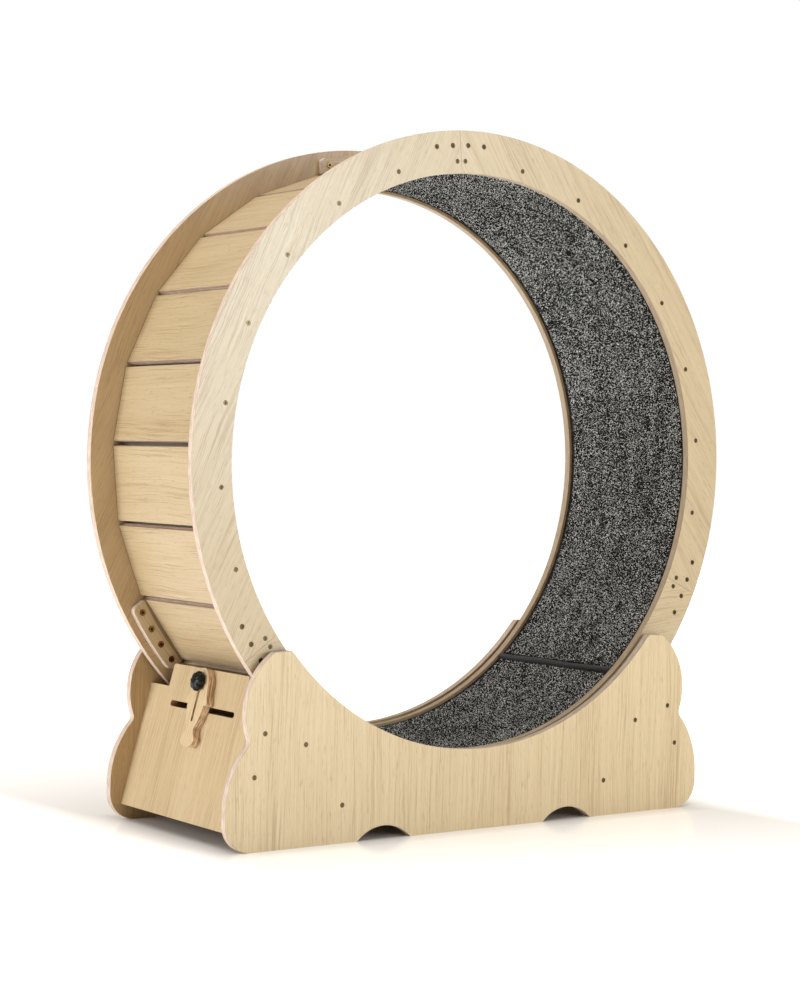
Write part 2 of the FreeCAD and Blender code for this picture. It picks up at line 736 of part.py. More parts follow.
def side_outline():
    """Right half of a side panel, from the middle of its foot to the cradle's bottom."""
    foot = outer_face_at(size("foot_side_height")) + size("foot_margin")
    corner = size("foot_corner")
    waist = outer_face_at(size("waist_height")) + size("waist_margin")
    shoulder = outer_face_at(size("shoulder_height")) + size("shoulder_margin")
    cradle = RING_INNER + size("cradle_margin")
    centre = AXIS_HEIGHT + size("cradle_rise")
    crown = size("crown_height")
    nose_height = crown - size("crown_nose")
    nose = math.sqrt(cradle ** 2 - (centre - nose_height) ** 2)
    crown_inner = nose + size("crown_nose")
    crown_outer = crown_inner + size("crown_width")
    arch_near = size("arch_offset") - size("arch_half_width")
    arch_far = size("arch_offset") + size("arch_half_width")
    waist_height = size("waist_height")
    below_waist = V(waist + size("waist_flare_below"), waist_height - size("waist_round"), 0)
    above_waist = V(waist + size("waist_flare_above"), waist_height + size("waist_round"), 0)
    start = V(0, 0, 0)
    steps = [
        V(arch_near, 0, 0),
        (V(size("arch_offset"), size("arch_height"), 0), V(arch_far, 0, 0)),
        V(foot - corner, 0, 0),
        (V(foot - corner, corner, 0) + polar(corner, -45), V(foot, corner, 0)),
        V(foot, size("foot_side_height"), 0),
        (V(foot - size("foot_bulge_drop"), size("foot_bulge_height"), 0), below_waist),
        (V(waist, waist_height, 0), above_waist),
        (V(shoulder, size("shoulder_height"), 0), V(crown_outer, crown - size("crown_shoulder_drop"), 0)),
        V(crown_outer - size("crown_shoulder_drop"), crown - size("crown_fall"), 0),
        V(crown_inner, crown, 0),
        V(nose, nose_height, 0)]
    return start, steps, V(0, centre - cradle, 0)


def side_panel(label, place):
    """A side of the base: three feet, a waist, two horns and the cradle between them."""
    body = new_body(label)
    start, right, bottom = side_outline()
    cradle = [(bottom, mirrored(right[-1]))]
    outline = new_sketch(body, "Outline")
    draw_outline(outline, start, right + cradle + left_half(start, right))
    pad(body, outline, "Sizes.base_board", "Board", down=True)
    screws = new_sketch(body, "ScrewCentres")
    draw_circles(screws, end_screw_points() + roller_screw_points(), "Sizes.screw_shank_radius")
    countersunk_holes(body, screws, "ScrewHoles")
    return keep(body, place)


def edge_pilots(body, heights):
    """Pilot holes in both ends of a board that stands between the side panels."""
    for name, sign in (("Left", -1), ("Right", 1)):
        centres = new_sketch(body, name + "PilotCentres", "YZ_Plane", sign * SIDE_BACK)
        middle = -size("base_board") / 2
        draw_circles(centres, [V(rise, middle, 0) for rise in heights],
                     PILOT_RADIUS)
        pocket(body, centres, name + "Pilots",
               "Sizes.side_screw_length-Sizes.base_board+Sizes.pilot_spare")


def end_panel(label, end, stud_hole):
    """End of the base: an inclined board whose tongue stands up between the rings."""
    body = new_body(label)
    half = SIDE_BACK
    tongue = size("tongue_half_width")
    corner = size("tongue_corner")
    top = TONGUE_TOP
    bend = V(tongue - corner, top - corner, 0) + polar(corner, 45)
    outline = new_sketch(body, "Outline")
    draw_outline(outline, V(-half, -size("end_depth"), 0), [
        V(half, -size("end_depth"), 0),
        V(half, 0, 0),
        V(tongue, 0, 0),
        V(tongue, top - corner, 0),
        (bend, V(tongue - corner, top, 0)),
        V(corner - tongue, top, 0),
        (mirrored(bend), V(-tongue, top - corner, 0)),
        V(-tongue, 0, 0),
        V(-half, 0, 0),
        V(-half, -size("end_depth"), 0)])
    pad(body, outline, "Sizes.base_board", "Board", down=True)
    slot = new_sketch(body, "SlotOutline")
    reach = size("hand_slot_half_length")
    rise = size("hand_slot_height") / 2
    middle = -size("hand_slot_drop")
    draw_outline(slot, V(rise - reach, middle - rise, 0), [
        V(reach - rise, middle - rise, 0),
        (V(reach, middle, 0), V(reach - rise, middle + rise, 0)),
        V(rise - reach, middle + rise, 0),
        (V(-reach, middle, 0), V(rise - reach, middle - rise, 0))])
    pocket(body, slot, "HandSlot")
    if stud_hole:
        hole = new_sketch(body, "StudCentre")
        draw_circles(hole, [V(0, STUD_UP, 0)], "Sizes.insert_barrel_radius+Sizes.screw_clearance")
        pocket(body, hole, "StudHole")
    edge_pilots(body, (-size("end_lower_screw"), -size("end_upper_screw")))
    return keep(body, end_frame(end))


def roller_board(label, end):
    """Inclined board under the wheel that carries two roller brackets."""
    body = new_body(label)
    low = -size("roller_board_below")
    high = size("roller_board_above")
    outline = new_sketch(body, "Outline")
    draw_outline(outline, V(-SIDE_BACK, low, 0), [
        V(SIDE_BACK, low, 0), V(SIDE_BACK, high, 0), V(-SIDE_BACK, high, 0), V(-SIDE_BACK, low, 0)])
    pad(body, outline, "Sizes.base_board", "Board", down=True)
    screws = new_sketch(body, "BracketPilots")
    offset = size("bracket_screw_offset")
    spots = [V(across, rise, 0) for across in (-RING_MIDDLE, RING_MIDDLE) for rise in (-offset, offset)]
    draw_circles(screws, spots, PILOT_RADIUS)
    pocket(body, screws, "BracketPilotHoles", "Sizes.bracket_screw_length")
    edge_pilots(body, (-size("roller_lower_screw"), size("roller_upper_screw")))
    return keep(body, roller_frame(end))


def roller_bracket(label, place):
    """Bent sheet bracket: a foot on the board and a leg each side of the roller."""
    body = new_body(label)
    reach = size("bracket_half_length")
    foot = new_sketch(body, "Foot")
    draw_outline(foot, V(-BRACKET_HALF, -reach, 0), [
        V(BRACKET_HALF, -reach, 0), V(BRACKET_HALF, reach, 0), V(-BRACKET_HALF, reach, 0),
        V(-BRACKET_HALF, -reach, 0)])
    pad(body, foot, "Sizes.bracket_sheet", "FootSheet")
    half = size("bracket_leg_half_width")
    round_ = size("bracket_leg_round")
    axle = size("axle_height")
    legs = new_sketch(body, "Legs", "YZ_Plane")
    draw_outline(legs, V(-half, 0, 0), [
        V(half, 0, 0), V(round_, axle, 0), (V(0, axle + round_, 0), V(-round_, axle, 0)), V(-half, 0, 0)])
    pad(body, legs, BRACKET_WIDTH, "LegSheets", both_ways=True)
    channel = new_sketch(body, "Channel", "XZ_Plane")
    sheet_top = size("bracket_sheet")
    top = axle + round_ + OVERCUT
    draw_outline(channel, V(-SLEEVE_HALF, sheet_top, 0), [
        V(SLEEVE_HALF, sheet_top, 0), V(SLEEVE_HALF, top, 0), V(-SLEEVE_HALF, top, 0),
        V(-SLEEVE_HALF, sheet_top, 0)])
    pocket(body, channel, "ChannelCut", both_ways=True)
    bore = new_sketch(body, "AxleCentre", "YZ_Plane")
    draw_circles(bore, [V(0, axle, 0)], "Sizes.axle_radius+Sizes.screw_clearance")
    pocket(body, bore, "AxleHoles", both_ways=True)
    screws = new_sketch(body, "ScrewCentres", lift=sheet_top)
    offset = size("bracket_screw_offset")
    draw_circles(screws, [V(0, -offset, 0), V(0, offset, 0)], PILOT_RADIUS)
    pocket(body, screws, "ScrewHoles")
    return keep(body, place)


def roller(label, place):
    """Grooved nylon roller: its flanges keep the ring on the tread."""
    body = new_body(label)
    bore = size("sleeve_radius") + size("running_clearance")
    tread = size("roller_tread_radius")
    rim = tread + size("roller_flange")
    lead = size("roller_flange_lead")
    profile = new_sketch(body, "Profile", "XZ_Plane")
    draw_outline(profile, V(bore, -ROLLER_HALF, 0), [
        V(rim - lead, -ROLLER_HALF, 0),
        V(rim, -ROLLER_HALF + lead, 0),
        V(rim, -GROOVE_HALF - lead, 0),
        V(tread, -GROOVE_HALF, 0),
        V(tread, GROOVE_HALF, 0),
        V(rim, GROOVE_HALF + lead, 0),
        V(rim, ROLLER_HALF - lead, 0),
        V(rim - lead, ROLLER_HALF, 0),
        V(bore, ROLLER_HALF, 0),
        V(bore, -ROLLER_HALF, 0)])
    turned = body.newObject("PartDesign::Revolution", "Turned")
    turned.Profile = profile
    turned.ReferenceAxis = (profile, ["V_Axis"])
    turned.Angle = 360
    doc.recompute()
    return keep(body, place)


def roller_places():
    """Where each roller's middle is, with its own z pointing out of the wheel's side."""
    places = {}
    for end in ENDS:
        for side, sign in SIDE_SIGN.items():
            frame = roller_frame(end)
            centre = frame.multVec(V(0, 0, size("axle_height")))
            centre.y = sign * RING_MIDDLE
            places[end + "_" + side] = Placement(centre, Rotation(V(1, 0, 0), -sign * 90))
    return places


def bracket_places():
    """Where each bracket's foot is, on its roller board."""
    places = {}
    for end in ENDS:
        for side, sign in SIDE_SIGN.items():
            frame = roller_frame(end)
            spot = Placement(V(0, sign * RING_MIDDLE, 0) + frame.Base, frame.Rotation)
            places[end + "_" + side] = spot
    return places


def axle_bolt():
    """Axle: low round head outside the bracket, shank through to the nut."""
    body = new_body("AxleBolt")
    head = new_sketch(body, "Head", lift=BRACKET_HALF)
    draw_circles(head, [V()], "Sizes.axle_head_radius")
    pad(body, head, "Sizes.axle_head_height", "HeadPad")
    shank = new_sketch(body, "Shank", lift=BRACKET_HALF)
    draw_circles(shank, [V()], "Sizes.axle_radius")
    pad(body, shank, BRACKET_WIDTH + "+Sizes.axle_nut_height+Sizes.axle_end", "ShankPad", down=True)
    return body


def axle_nut():
    """Hexagon nut on the axle's inner end."""
    body = new_body("AxleNut")
    blank = new_sketch(body, "Hexagon", lift=-BRACKET_HALF)
    draw_hexagon(blank, size("axle_nut_flats"))
    pad(body, blank, "Sizes.axle_nut_height", "NutPad", down=True)
    bore = new_sketch(body, "Bore", lift=-BRACKET_HALF)
    draw_circles(bore, [V()], "Sizes.axle_radius+Sizes.screw_clearance/2")
    pocket(body, bore, "NutBore")
    return body


def axle_sleeve():
    """Steel tube between the bracket's legs, on which the roller turns."""
    body = new_body("AxleSleeve")
    tube = new_sketch(body, "Tube")
    draw_circles(tube, [V()], "Sizes.sleeve_radius")
    draw_circles(tube, [V()], "Sizes.axle_radius+Sizes.screw_clearance")
    pad(body, tube, SLEEVE_WIDTH, "TubePad", both_ways=True)
    return body


# ---------------------------------------------------------------------------
# Sliding lock, in the left end panel's frame
# ---------------------------------------------------------------------------
def lock_half_outline():
    """Right half of the lock plate, as steps of (half width, distance below its top)."""
    head = size("lock_head_half_width")
    top = size("lock_top_half_width")
    shoulder = size("lock_shoulder_half_width")
    trunk = size("lock_body_half_width")
    waist = size("lock_waist_half_width")
    tail = size("lock_tail_half_width")
    head_drop = size("lock_head_drop")
    shoulder_drop = size("lock_shoulder_drop")
    step_drop = shoulder_drop + size("lock_shoulder_edge")
    waist_drop = size("lock_waist_drop")
    tail_drop = size("lock_tail_drop")
    length = size("lock_length")
    corner = size("lock_tail_corner")
    tail_turn = V(tail - corner, length - corner, 0) + polar(corner, 45)
    start = V(top, 0, 0)
    cheek = V(head, head_drop, 0)
    wing = V(shoulder, shoulder_drop, 0)
    armpit = V(trunk, step_drop, 0)
    neck = V(waist, waist_drop, 0)
    heel = V(tail, tail_drop, 0)
    return start, [
        (bowed(start, cheek, size("lock_head_bow")), cheek),
        (bowed(cheek, wing, -size("lock_shoulder_bow")), wing),
        V(shoulder - size("lock_shoulder_edge"), step_drop, 0),
        armpit,
        (bowed(armpit, neck, size("lock_body_bow")), neck),
        (bowed(neck, heel, -size("lock_tail_bow")), heel),
        V(tail, length - corner, 0),
        (tail_turn, V(tail - corner, length, 0))]


def bowed(start, end, bow):
    """The middle of an arc from start to end that bows outward, to the right of its chord."""
    chord = end - start
    across = V(chord.y, -chord.x, 0)
    return (start + end) / 2 + across * (bow / chord.Length)


def lock_plate():
    """The sliding lock: a curved plate with a long slot for the knob's stud."""
    body = new_body("lock_plate")
    start, right = lock_half_outline()
    steps = right + [mirrored(right[-1][1])] + left_half(start, right) + [start]
    hang = [tuple(hung(point) for point in step) if isinstance(step, tuple) else hung(step)
            for step in steps]
    outline = new_sketch(body, "Outline", lift=size("lock_clearance"))
    draw_outline(outline, hung(start), hang)
    pad(body, outline, "Sizes.lock_board", "Board")
    slot = new_sketch(body, "SlotOutline", lift=size("lock_clearance"))
    half = size("lock_slot_half_width")
    high = STUD_UP
    low = STUD_UP - size("lock_slot_length")
    draw_outline(slot, V(half, low, 0), [
        V(half, high, 0), (V(0, high + half, 0), V(-half, high, 0)),
        V(-half, low, 0), (V(0, low - half, 0), V(half, low, 0))])
    pocket(body, slot, "StudSlot")
    return keep(body, end_frame("left"))


def hung(point):
    """A point of the lock plate, from its distance below the plate's top."""
    return V(point.x, TONGUE_TOP - point.y, 0)


def lock_travel():
    """How far the plate slides up before its top nearly meets the slat above it."""
    frame = end_frame("left")
    up = frame.Rotation.multVec(V(0, 1, 0))
    top = frame.multVec(V(0, TONGUE_TOP, size("lock_clearance"))) - V(0, 0, AXIS_HEIGHT)
    slat_turn = math.radians(JOINTS[1])
    normal = V(math.cos(slat_turn), 0, math.sin(slat_turn))
    level = SLAT_OUTER + size("lock_slat_clearance")
    return (top.dot(normal) - level) / -up.dot(normal)


def washer():
    """Flat washer between the knob and the lock plate."""
    body = new_body("lock_washer")
    disc = new_sketch(body, "Disc")
    draw_circles(disc, [V()], "Sizes.washer_radius")
    draw_circles(disc, [V()], "Sizes.stud_radius+Sizes.running_clearance")
    pad(body, disc, "Sizes.washer_thickness", "DiscPad")
    rise = 2 * size("lock_clearance") + size("lock_board")
    return keep(body, end_frame("left").multiply(Placement(V(0, STUD_UP, rise), Rotation())))


def lock_knob():
    """Star knob with a domed top and a stud moulded into it."""
    body = new_body("lock_knob")
    radius = size("knob_radius")
    height = size("knob_height")
    profile = new_sketch(body, "Profile", "XZ_Plane")
    rim = V(radius, size("knob_rim_end"), 0)
    dome_edge = V(size("knob_dome_radius"), height - size("knob_dome_drop"), 0)
    draw_outline(profile, V(0, 0, 0), [
        V(radius - size("knob_foot_inset"), 0, 0),
        V(radius, size("knob_rim_start"), 0),
        rim,
        (bowed(rim, dome_edge, size("knob_dome_bow")), dome_edge),
        V(0, height, 0),
        V(0, 0, 0)])
    dome = body.newObject("PartDesign::Revolution", "Dome")
    dome.Profile = profile
    dome.ReferenceAxis = (profile, ["V_Axis"])
    dome.Angle = 360
    doc.recompute()
    scallop = new_sketch(body, "Scallop")
    draw_circles(scallop, [polar(size("knob_scallop_offset"), 0)], "Sizes.knob_scallop_radius")
    first = pocket(body, scallop, "FirstScallop", both_ways=True)
    around = body.newObject("PartDesign::PolarPattern", "Scallops")
    around.Originals = [first]
    around.Axis = (scallop, ["N_Axis"])
    around.Angle = 360
    around.setExpression("Occurrences", "Sizes.knob_lobes")
    body.Tip = around
    doc.recompute()
    stud = new_sketch(body, "Stud")
    draw_circles(stud, [V()], "Sizes.stud_radius")
    length = "Sizes.washer_thickness+3*Sizes.lock_clearance+Sizes.lock_board+Sizes.base_board"
    pad(body, stud, length, "StudPad", down=True)
    rise = 3 * size("lock_clearance") + size("lock_board") + size("washer_thickness")
    return keep(body, end_frame("left").multiply(Placement(V(0, STUD_UP, rise), Rotation())))


# ---------------------------------------------------------------------------
# Assembly
# ---------------------------------------------------------------------------
SPAN = 360.0 / SEGMENTS
for side in SIDES:
    for number, joint in enumerate(JOINTS, start=1):
        start_angle = local_angle(side, joint if side == "near" else joint + SPAN)
        ring_segment("ring_%s_%d" % (side, number), wheel_frame(side, RING_FACE, start_angle))

for number in range(SLAT_COUNT):
    slat("slat_%02d" % (number + 1), size("joint_angle") + SLAT_PITCH * number,
         number % int(size("slats_per_segment")) == 0)

plate = joint_plate("JointPlate")
bolt = joint_bolt()
nut = flanged_nut("nut", "Sizes.bolt_radius+Sizes.screw_clearance/2")
slat_screw = wood_screw("slat_screw_length")
turns = joint_bolt_turns()
nut_places = []
bolt_places = []
screw_places = []
for side in SIDES:
    plate_places = []
    for joint in JOINTS:
        angle = local_angle(side, joint)
        plate_places.append(wheel_frame(side, RING_BACK, angle - 90))
        start_angle = local_angle(side, joint if side == "near" else joint + SPAN)
        frame = wheel_frame(side, RING_FACE, start_angle)
        for spot in screw_spots():
            screw_places.append(frame.multiply(Placement(spot, Rotation())))
        for turn in turns + [-turn for turn in turns]:
            spot = polar(BOLT_RADIUS, turn)
            sink = V(0, 0, -size("bolt_head_sink"))
            face = wheel_frame(side, RING_FACE, angle)
            bolt_places.append(face.multiply(Placement(spot + sink, Rotation())))
            back = wheel_frame(side, RING_BACK - size("joint_plate_board"), angle)
            nut_places.append(back.multiply(Placement(spot, Rotation(V(1, 0, 0), 180))))
    group("joint_plates_" + side, plate, plate_places)
group("joint_bolts", bolt, bolt_places)
group("joint_nuts", nut, nut_places)
group("slat_screws", slat_screw, screw_places)
carpet()
carpet_binding()

side_screw = wood_screw("side_screw_length")
side_screw_places = []
for side in SIDES:
    face = Placement(V(0, SIDE_SIGN[side] * SIDE_FACE, 0), SIDES[side])
    side_panel("side_panel_" + side, face)
    for spot in end_screw_points() + roller_screw_points():
        side_screw_places.append(face.multiply(Placement(spot, Rotation())))
group("side_screws", side_screw, side_screw_places)

end_panel("end_panel_left", "left", True)
end_panel("end_panel_right", "right", False)
roller_board("roller_board_left", "left")
roller_board("roller_board_right", "right")

rollers = roller_places()
brackets = bracket_places()
bracket_screw_places = []
for name in rollers:
    roller_bracket("bracket_" + name, brackets[name])
    roller("roller_" + name, rollers[name])
    for rise in (-size("bracket_screw_offset"), size("bracket_screw_offset")):
        top = size("bracket_sheet") + size("screw_head_radius") - size("screw_shank_radius")
        bracket_screw_places.append(brackets[name].multiply(Placement(V(0, rise, top), Rotation())))
group("roller_axles", axle_bolt(), list(rollers.values()))
group("axle_nuts", axle_nut(), list(rollers.values()))
group("axle_sleeves", axle_sleeve(), list(rollers.values()))
group("bracket_screws", wood_screw("bracket_screw_length"), bracket_screw_places)

lock_plate()
lock_knob()
washer()
insert = flanged_nut("insert", "Sizes.stud_radius+Sizes.running_clearance")
insert_place = Placement(V(0, STUD_UP, -size("base_board")), Rotation(V(1, 0, 0), 180))
group("lock_insert", insert, [end_frame("left").multiply(insert_place)])
doc.recompute()

# ---------------------------------------------------------------------------
# Check every object, then write one file for each node
# ---------------------------------------------------------------------------
for thing in doc.Objects:
    if "Invalid" in thing.State or "Error" in thing.State:
        raise RuntimeError("%s failed: %s" % (thing.Label, thing.State))
for node in NODES:
    if node.Shape.isNull() or not node.Shape.isValid():
        raise RuntimeError("%s has no valid shape" % node.Label)

os.makedirs("parts", exist_ok=True)
for node in NODES:
    node.Shape.exportStep("parts/%s.step" % node.Label)

print("%d nodes" % len(NODES))
print("wheel axis at z = %.1f" % AXIS_HEIGHT)
print("lock travel %.2f" % lock_travel())
print("roller centre %s" % rollers["right_near"].Base)
print("stud %s" % end_frame("left").multVec(V(0, STUD_UP, 0)))
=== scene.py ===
"""Looks of the exercise wheel: finishes for its boards and fittings, and its looped carpet.

Metres, in the frame's own axes: +X to the right along the base, +Y away from the near side,
+Z up from the floor.  Angles around the wheel are counted from +X towards +Z.
"""
import json
import math

import bmesh
import bpy
import numpy as np
from mathutils import Matrix, Vector


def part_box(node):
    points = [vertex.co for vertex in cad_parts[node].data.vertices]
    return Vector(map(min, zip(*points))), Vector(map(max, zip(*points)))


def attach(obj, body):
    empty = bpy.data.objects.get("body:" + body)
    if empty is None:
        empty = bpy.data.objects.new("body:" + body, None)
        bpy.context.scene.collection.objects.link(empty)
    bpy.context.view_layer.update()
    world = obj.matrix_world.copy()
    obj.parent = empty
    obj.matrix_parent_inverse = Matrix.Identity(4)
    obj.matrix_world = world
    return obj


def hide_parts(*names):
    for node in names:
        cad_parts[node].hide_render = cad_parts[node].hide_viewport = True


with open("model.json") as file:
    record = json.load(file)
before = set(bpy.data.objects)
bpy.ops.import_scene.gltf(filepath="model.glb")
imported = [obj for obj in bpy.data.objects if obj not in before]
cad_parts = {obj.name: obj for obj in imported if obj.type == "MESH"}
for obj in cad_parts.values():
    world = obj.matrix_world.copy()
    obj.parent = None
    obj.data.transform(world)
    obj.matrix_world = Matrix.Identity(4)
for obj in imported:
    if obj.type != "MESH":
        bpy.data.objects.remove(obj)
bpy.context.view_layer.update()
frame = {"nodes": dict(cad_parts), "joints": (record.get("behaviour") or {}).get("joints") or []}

NODES = frame["nodes"]
JOINTS = {joint["name"]: joint for joint in frame["joints"]}
MM = 0.001
WHITE = (1.0, 1.0, 1.0, 1.0)
BLACK = (0.0, 0.0, 0.0, 1.0)


def node_points(name):
    """The vertices of a frame node, as rows of x, y, z."""
    return np.array([vertex.co for vertex in NODES[name].data.vertices], float)


# ---------------------------------------------------------------------------
# Places, worked out from the frame
# ---------------------------------------------------------------------------
AXIS = Vector(JOINTS["wheel_spin"]["pos_m"])
LOCK_UP = Vector(JOINTS["lock_slide"]["axis"]).normalized()
KNOB_OUT = Vector(JOINTS["knob_turn"]["axis"]).normalized()
STUD = Vector(JOINTS["knob_turn"]["pos_m"])

RING_SEGMENTS = 3
SLATS = 24
SLAT_PITCH = 2 * math.pi / SLATS
FIRST_JOINT = math.radians(95.2)       # the joint that ring segment 1 starts at
RING_FACE = -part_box("ring_near_1")[0].y
RING_BACK = -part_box("ring_near_1")[1].y
RING_MIDDLE = (RING_FACE + RING_BACK) / 2
BOARD = RING_FACE - RING_BACK
RING_MIDWAY = 0.47                     # radius between the rings' inner and outer edges
SIDE_MIDDLE = -(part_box("side_panel_near")[0].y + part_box("side_panel_near")[1].y) / 2
CARPET_PLAY = 0.3 * MM                 # between the carpet's back and the slats


def radii(points):
    """Distance of points from the wheel's axis."""
    return np.hypot(points[:, 0], points[:, 2] - AXIS.z)


CARPET_INNER = radii(node_points("carpet")).min()
CARPET_OUTER = radii(node_points("carpet")).max()
CARPET_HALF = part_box("carpet")[1].y
BINDING = node_points("carpet_binding")
BINDING_TURNS = np.arctan2(BINDING[:, 2] - AXIS.z, BINDING[:, 0])
SEAM_LOW = BINDING_TURNS.min()         # the binding's lower edge, in radians
SEAM_HIGH = BINDING_TURNS.max()
BINDING_INNER = radii(BINDING).min()
PLATE_INNER = radii(node_points("joint_plates_near")).min()
SLAT_MIDDLE_RADIUS = CARPET_OUTER + CARPET_PLAY + BOARD / 2


def around(radius, turn, across):
    """A point at a radius and an angle around the wheel's axis."""
    return Vector((radius * math.cos(turn), across, AXIS.z + radius * math.sin(turn)))


# ---------------------------------------------------------------------------
# Camera and light
# ---------------------------------------------------------------------------
CAMERA_PLACE = Vector((-2.0408, -2.7856, 0.5657))
CAMERA_YAW = 0.6249                    # radians, from +Y towards +X
CAMERA_PITCH = 0.0208                  # downward
CAMERA_ROLL = 0.0184
CAMERA_SENSOR = 36.0                   # millimetres, along the frame's height
CAMERA_LENS = 78.8                     # millimetres
CAMERA_CLIP = 0.05                     # nearest distance that is seen

SKY_COLOR = (1.0, 0.85, 0.67, 1.0)
SKY_STRENGTH = 0.38
# Each light's place, the point it faces, its width and height, its watts and its colour
LIGHTS = {
    "left": ((-3.8, 0.85, 1.05), (-0.4, 0.0, 0.5), 1.6, 2.0, 69.0, (1.0, 0.99, 1.01)),
    "front": ((2.1, -5.2, 0.8), (-0.1, -0.15, 0.5), 2.2, 2.2, 130.0, (0.965, 1.0, 0.960)),
    "above": ((-0.3, -0.5, 3.3), (0.0, 0.0, 0.0), 2.6, 2.6, 72.0, (1.0, 1.0, 1.0)),
    "sheen": ((0.75, -2.65, 1.35), (-0.42, -0.15, 0.75), 0.9, 1.2, 60.0, (0.72, 1.0, 1.25)),
}
GLOSS_LIGHT = "sheen"                  # gives the boards' faces gloss and no other light

FLOOR_REACH = 12.0
FLOOR_PAINT = (0.92, 0.92, 0.92, 1.0)
FLOOR_ROUGHNESS = 0.16
# Where the floor's glow sets in, where it is full, and what it adds
GLOW_BESIDE = (0.17, 0.22, 0.22)       # in the distance from the X axis
GLOW_AWAY = (0.22, 1.37, 0.60)
GLOW_ENDS = (0.41, 0.56, 0.85)         # in the distance from the Y axis

SURROUND_RADIUS = 11.0
SURROUND_SIDES = 64
SURROUND_LEVELS = (-0.5, 9.0)


def add_camera():
    """A camera at the photograph's viewing angle."""
    level = Vector((math.cos(CAMERA_YAW), -math.sin(CAMERA_YAW), 0))
    ahead = Vector((math.sin(CAMERA_YAW) * math.cos(CAMERA_PITCH),
                    math.cos(CAMERA_YAW) * math.cos(CAMERA_PITCH), -math.sin(CAMERA_PITCH)))
    up = level.cross(ahead)
    right = level * math.cos(CAMERA_ROLL) + up * math.sin(CAMERA_ROLL)
    top = up * math.cos(CAMERA_ROLL) - level * math.sin(CAMERA_ROLL)
    data = bpy.data.cameras.new("camera")
    data.sensor_width = CAMERA_SENSOR
    data.lens = CAMERA_LENS
    data.clip_start = CAMERA_CLIP
    camera = bpy.data.objects.new("camera", data)
    camera.matrix_world = Matrix.Translation(CAMERA_PLACE) @ Matrix(
        (right, top, -ahead)).transposed().to_4x4()
    bpy.context.scene.collection.objects.link(camera)
    bpy.context.scene.camera = camera


def add_light(name, place, target, width, height, power, color):
    """A soft rectangular light that faces a point."""
    data = bpy.data.lights.new(name, "AREA")
    data.shape = "RECTANGLE"
    data.size = width
    data.size_y = height
    data.energy = power
    data.color = color
    light = bpy.data.objects.new(name, data)
    light.location = place
    light.rotation_euler = (Vector(target) - Vector(place)).to_track_quat("-Z", "Y").to_euler()
    light.visible_camera = False
    bpy.context.scene.collection.objects.link(light)
    return light


def add_studio():
    """A dim warm sky, soft lights at the left, in front and above, one that only gives the
    boards' faces their sheen, and a white surround."""
    scene = bpy.context.scene
    scene.view_settings.view_transform = "Standard"
    world = bpy.data.worlds.new("studio")
    world.use_nodes = True
    sky = world.node_tree.nodes["Background"]
    sky.inputs["Color"].default_value = SKY_COLOR
    sky.inputs["Strength"].default_value = SKY_STRENGTH
    scene.world = world
    for name, settings in LIGHTS.items():
        light = add_light(name, *settings)
        light.visible_diffuse = name != GLOSS_LIGHT
    add_floor()
    add_surround()


def add_floor():
    """A white floor, a little glossy; away from the wheel it glows so that it stays white."""
    reach = FLOOR_REACH
    mesh = bpy.data.meshes.new("floor")
    corners = [(-reach, -reach, 0), (reach, -reach, 0), (reach, reach, 0), (-reach, reach, 0)]
    mesh.from_pydata(corners, [], [(0, 1, 2, 3)])
    floor = bpy.data.objects.new("floor", mesh)
    bpy.context.scene.collection.objects.link(floor)
    paint = Shader("floor_white", Roughness=FLOOR_ROUGHNESS)
    paint.surface.inputs["Base Color"].default_value = FLOOR_PAINT
    paint.surface.inputs["Emission Color"].default_value = WHITE
    x, y, _ = paint.split(paint.place())
    along = paint.math("ABSOLUTE", x)
    across = paint.math("ABSOLUTE", y)

    def glow(distance, near, far, gain):
        return paint.range(distance, near, far, 0.0, gain)

    beside = paint.math("ADD", glow(across, *GLOW_BESIDE), glow(across, *GLOW_AWAY))
    paint.feed("Emission Strength", paint.math("MAXIMUM", beside, glow(along, *GLOW_ENDS)))
    mesh.materials.append(paint.material)


def add_surround():
    """A white wall all round, seen directly but neither lighting nor shading the wheel."""
    radius, sides = SURROUND_RADIUS, SURROUND_SIDES
    points = []
    for level in SURROUND_LEVELS:
        for k in range(sides):
            turn = 2 * math.pi * k / sides
            points.append((radius * math.cos(turn), radius * math.sin(turn), level))
    faces = [(k, (k + 1) % sides, (k + 1) % sides + sides, k + sides) for k in range(sides)]
    faces.append(tuple(range(sides, 2 * sides)))
    mesh = bpy.data.meshes.new("surround")
    mesh.from_pydata(points, [], faces)
    surround = bpy.data.objects.new("surround", mesh)
    bpy.context.scene.collection.objects.link(surround)
    surround.visible_diffuse = False
    surround.visible_glossy = False
    surround.visible_transmission = False
    surround.visible_shadow = False
    paint = Shader("surround_white", Roughness=1.0)
    paint.surface.inputs["Base Color"].default_value = BLACK
    paint.surface.inputs["Emission Color"].default_value = WHITE
    paint.surface.inputs["Emission Strength"].default_value = 1.0
    mesh.materials.append(paint.material)


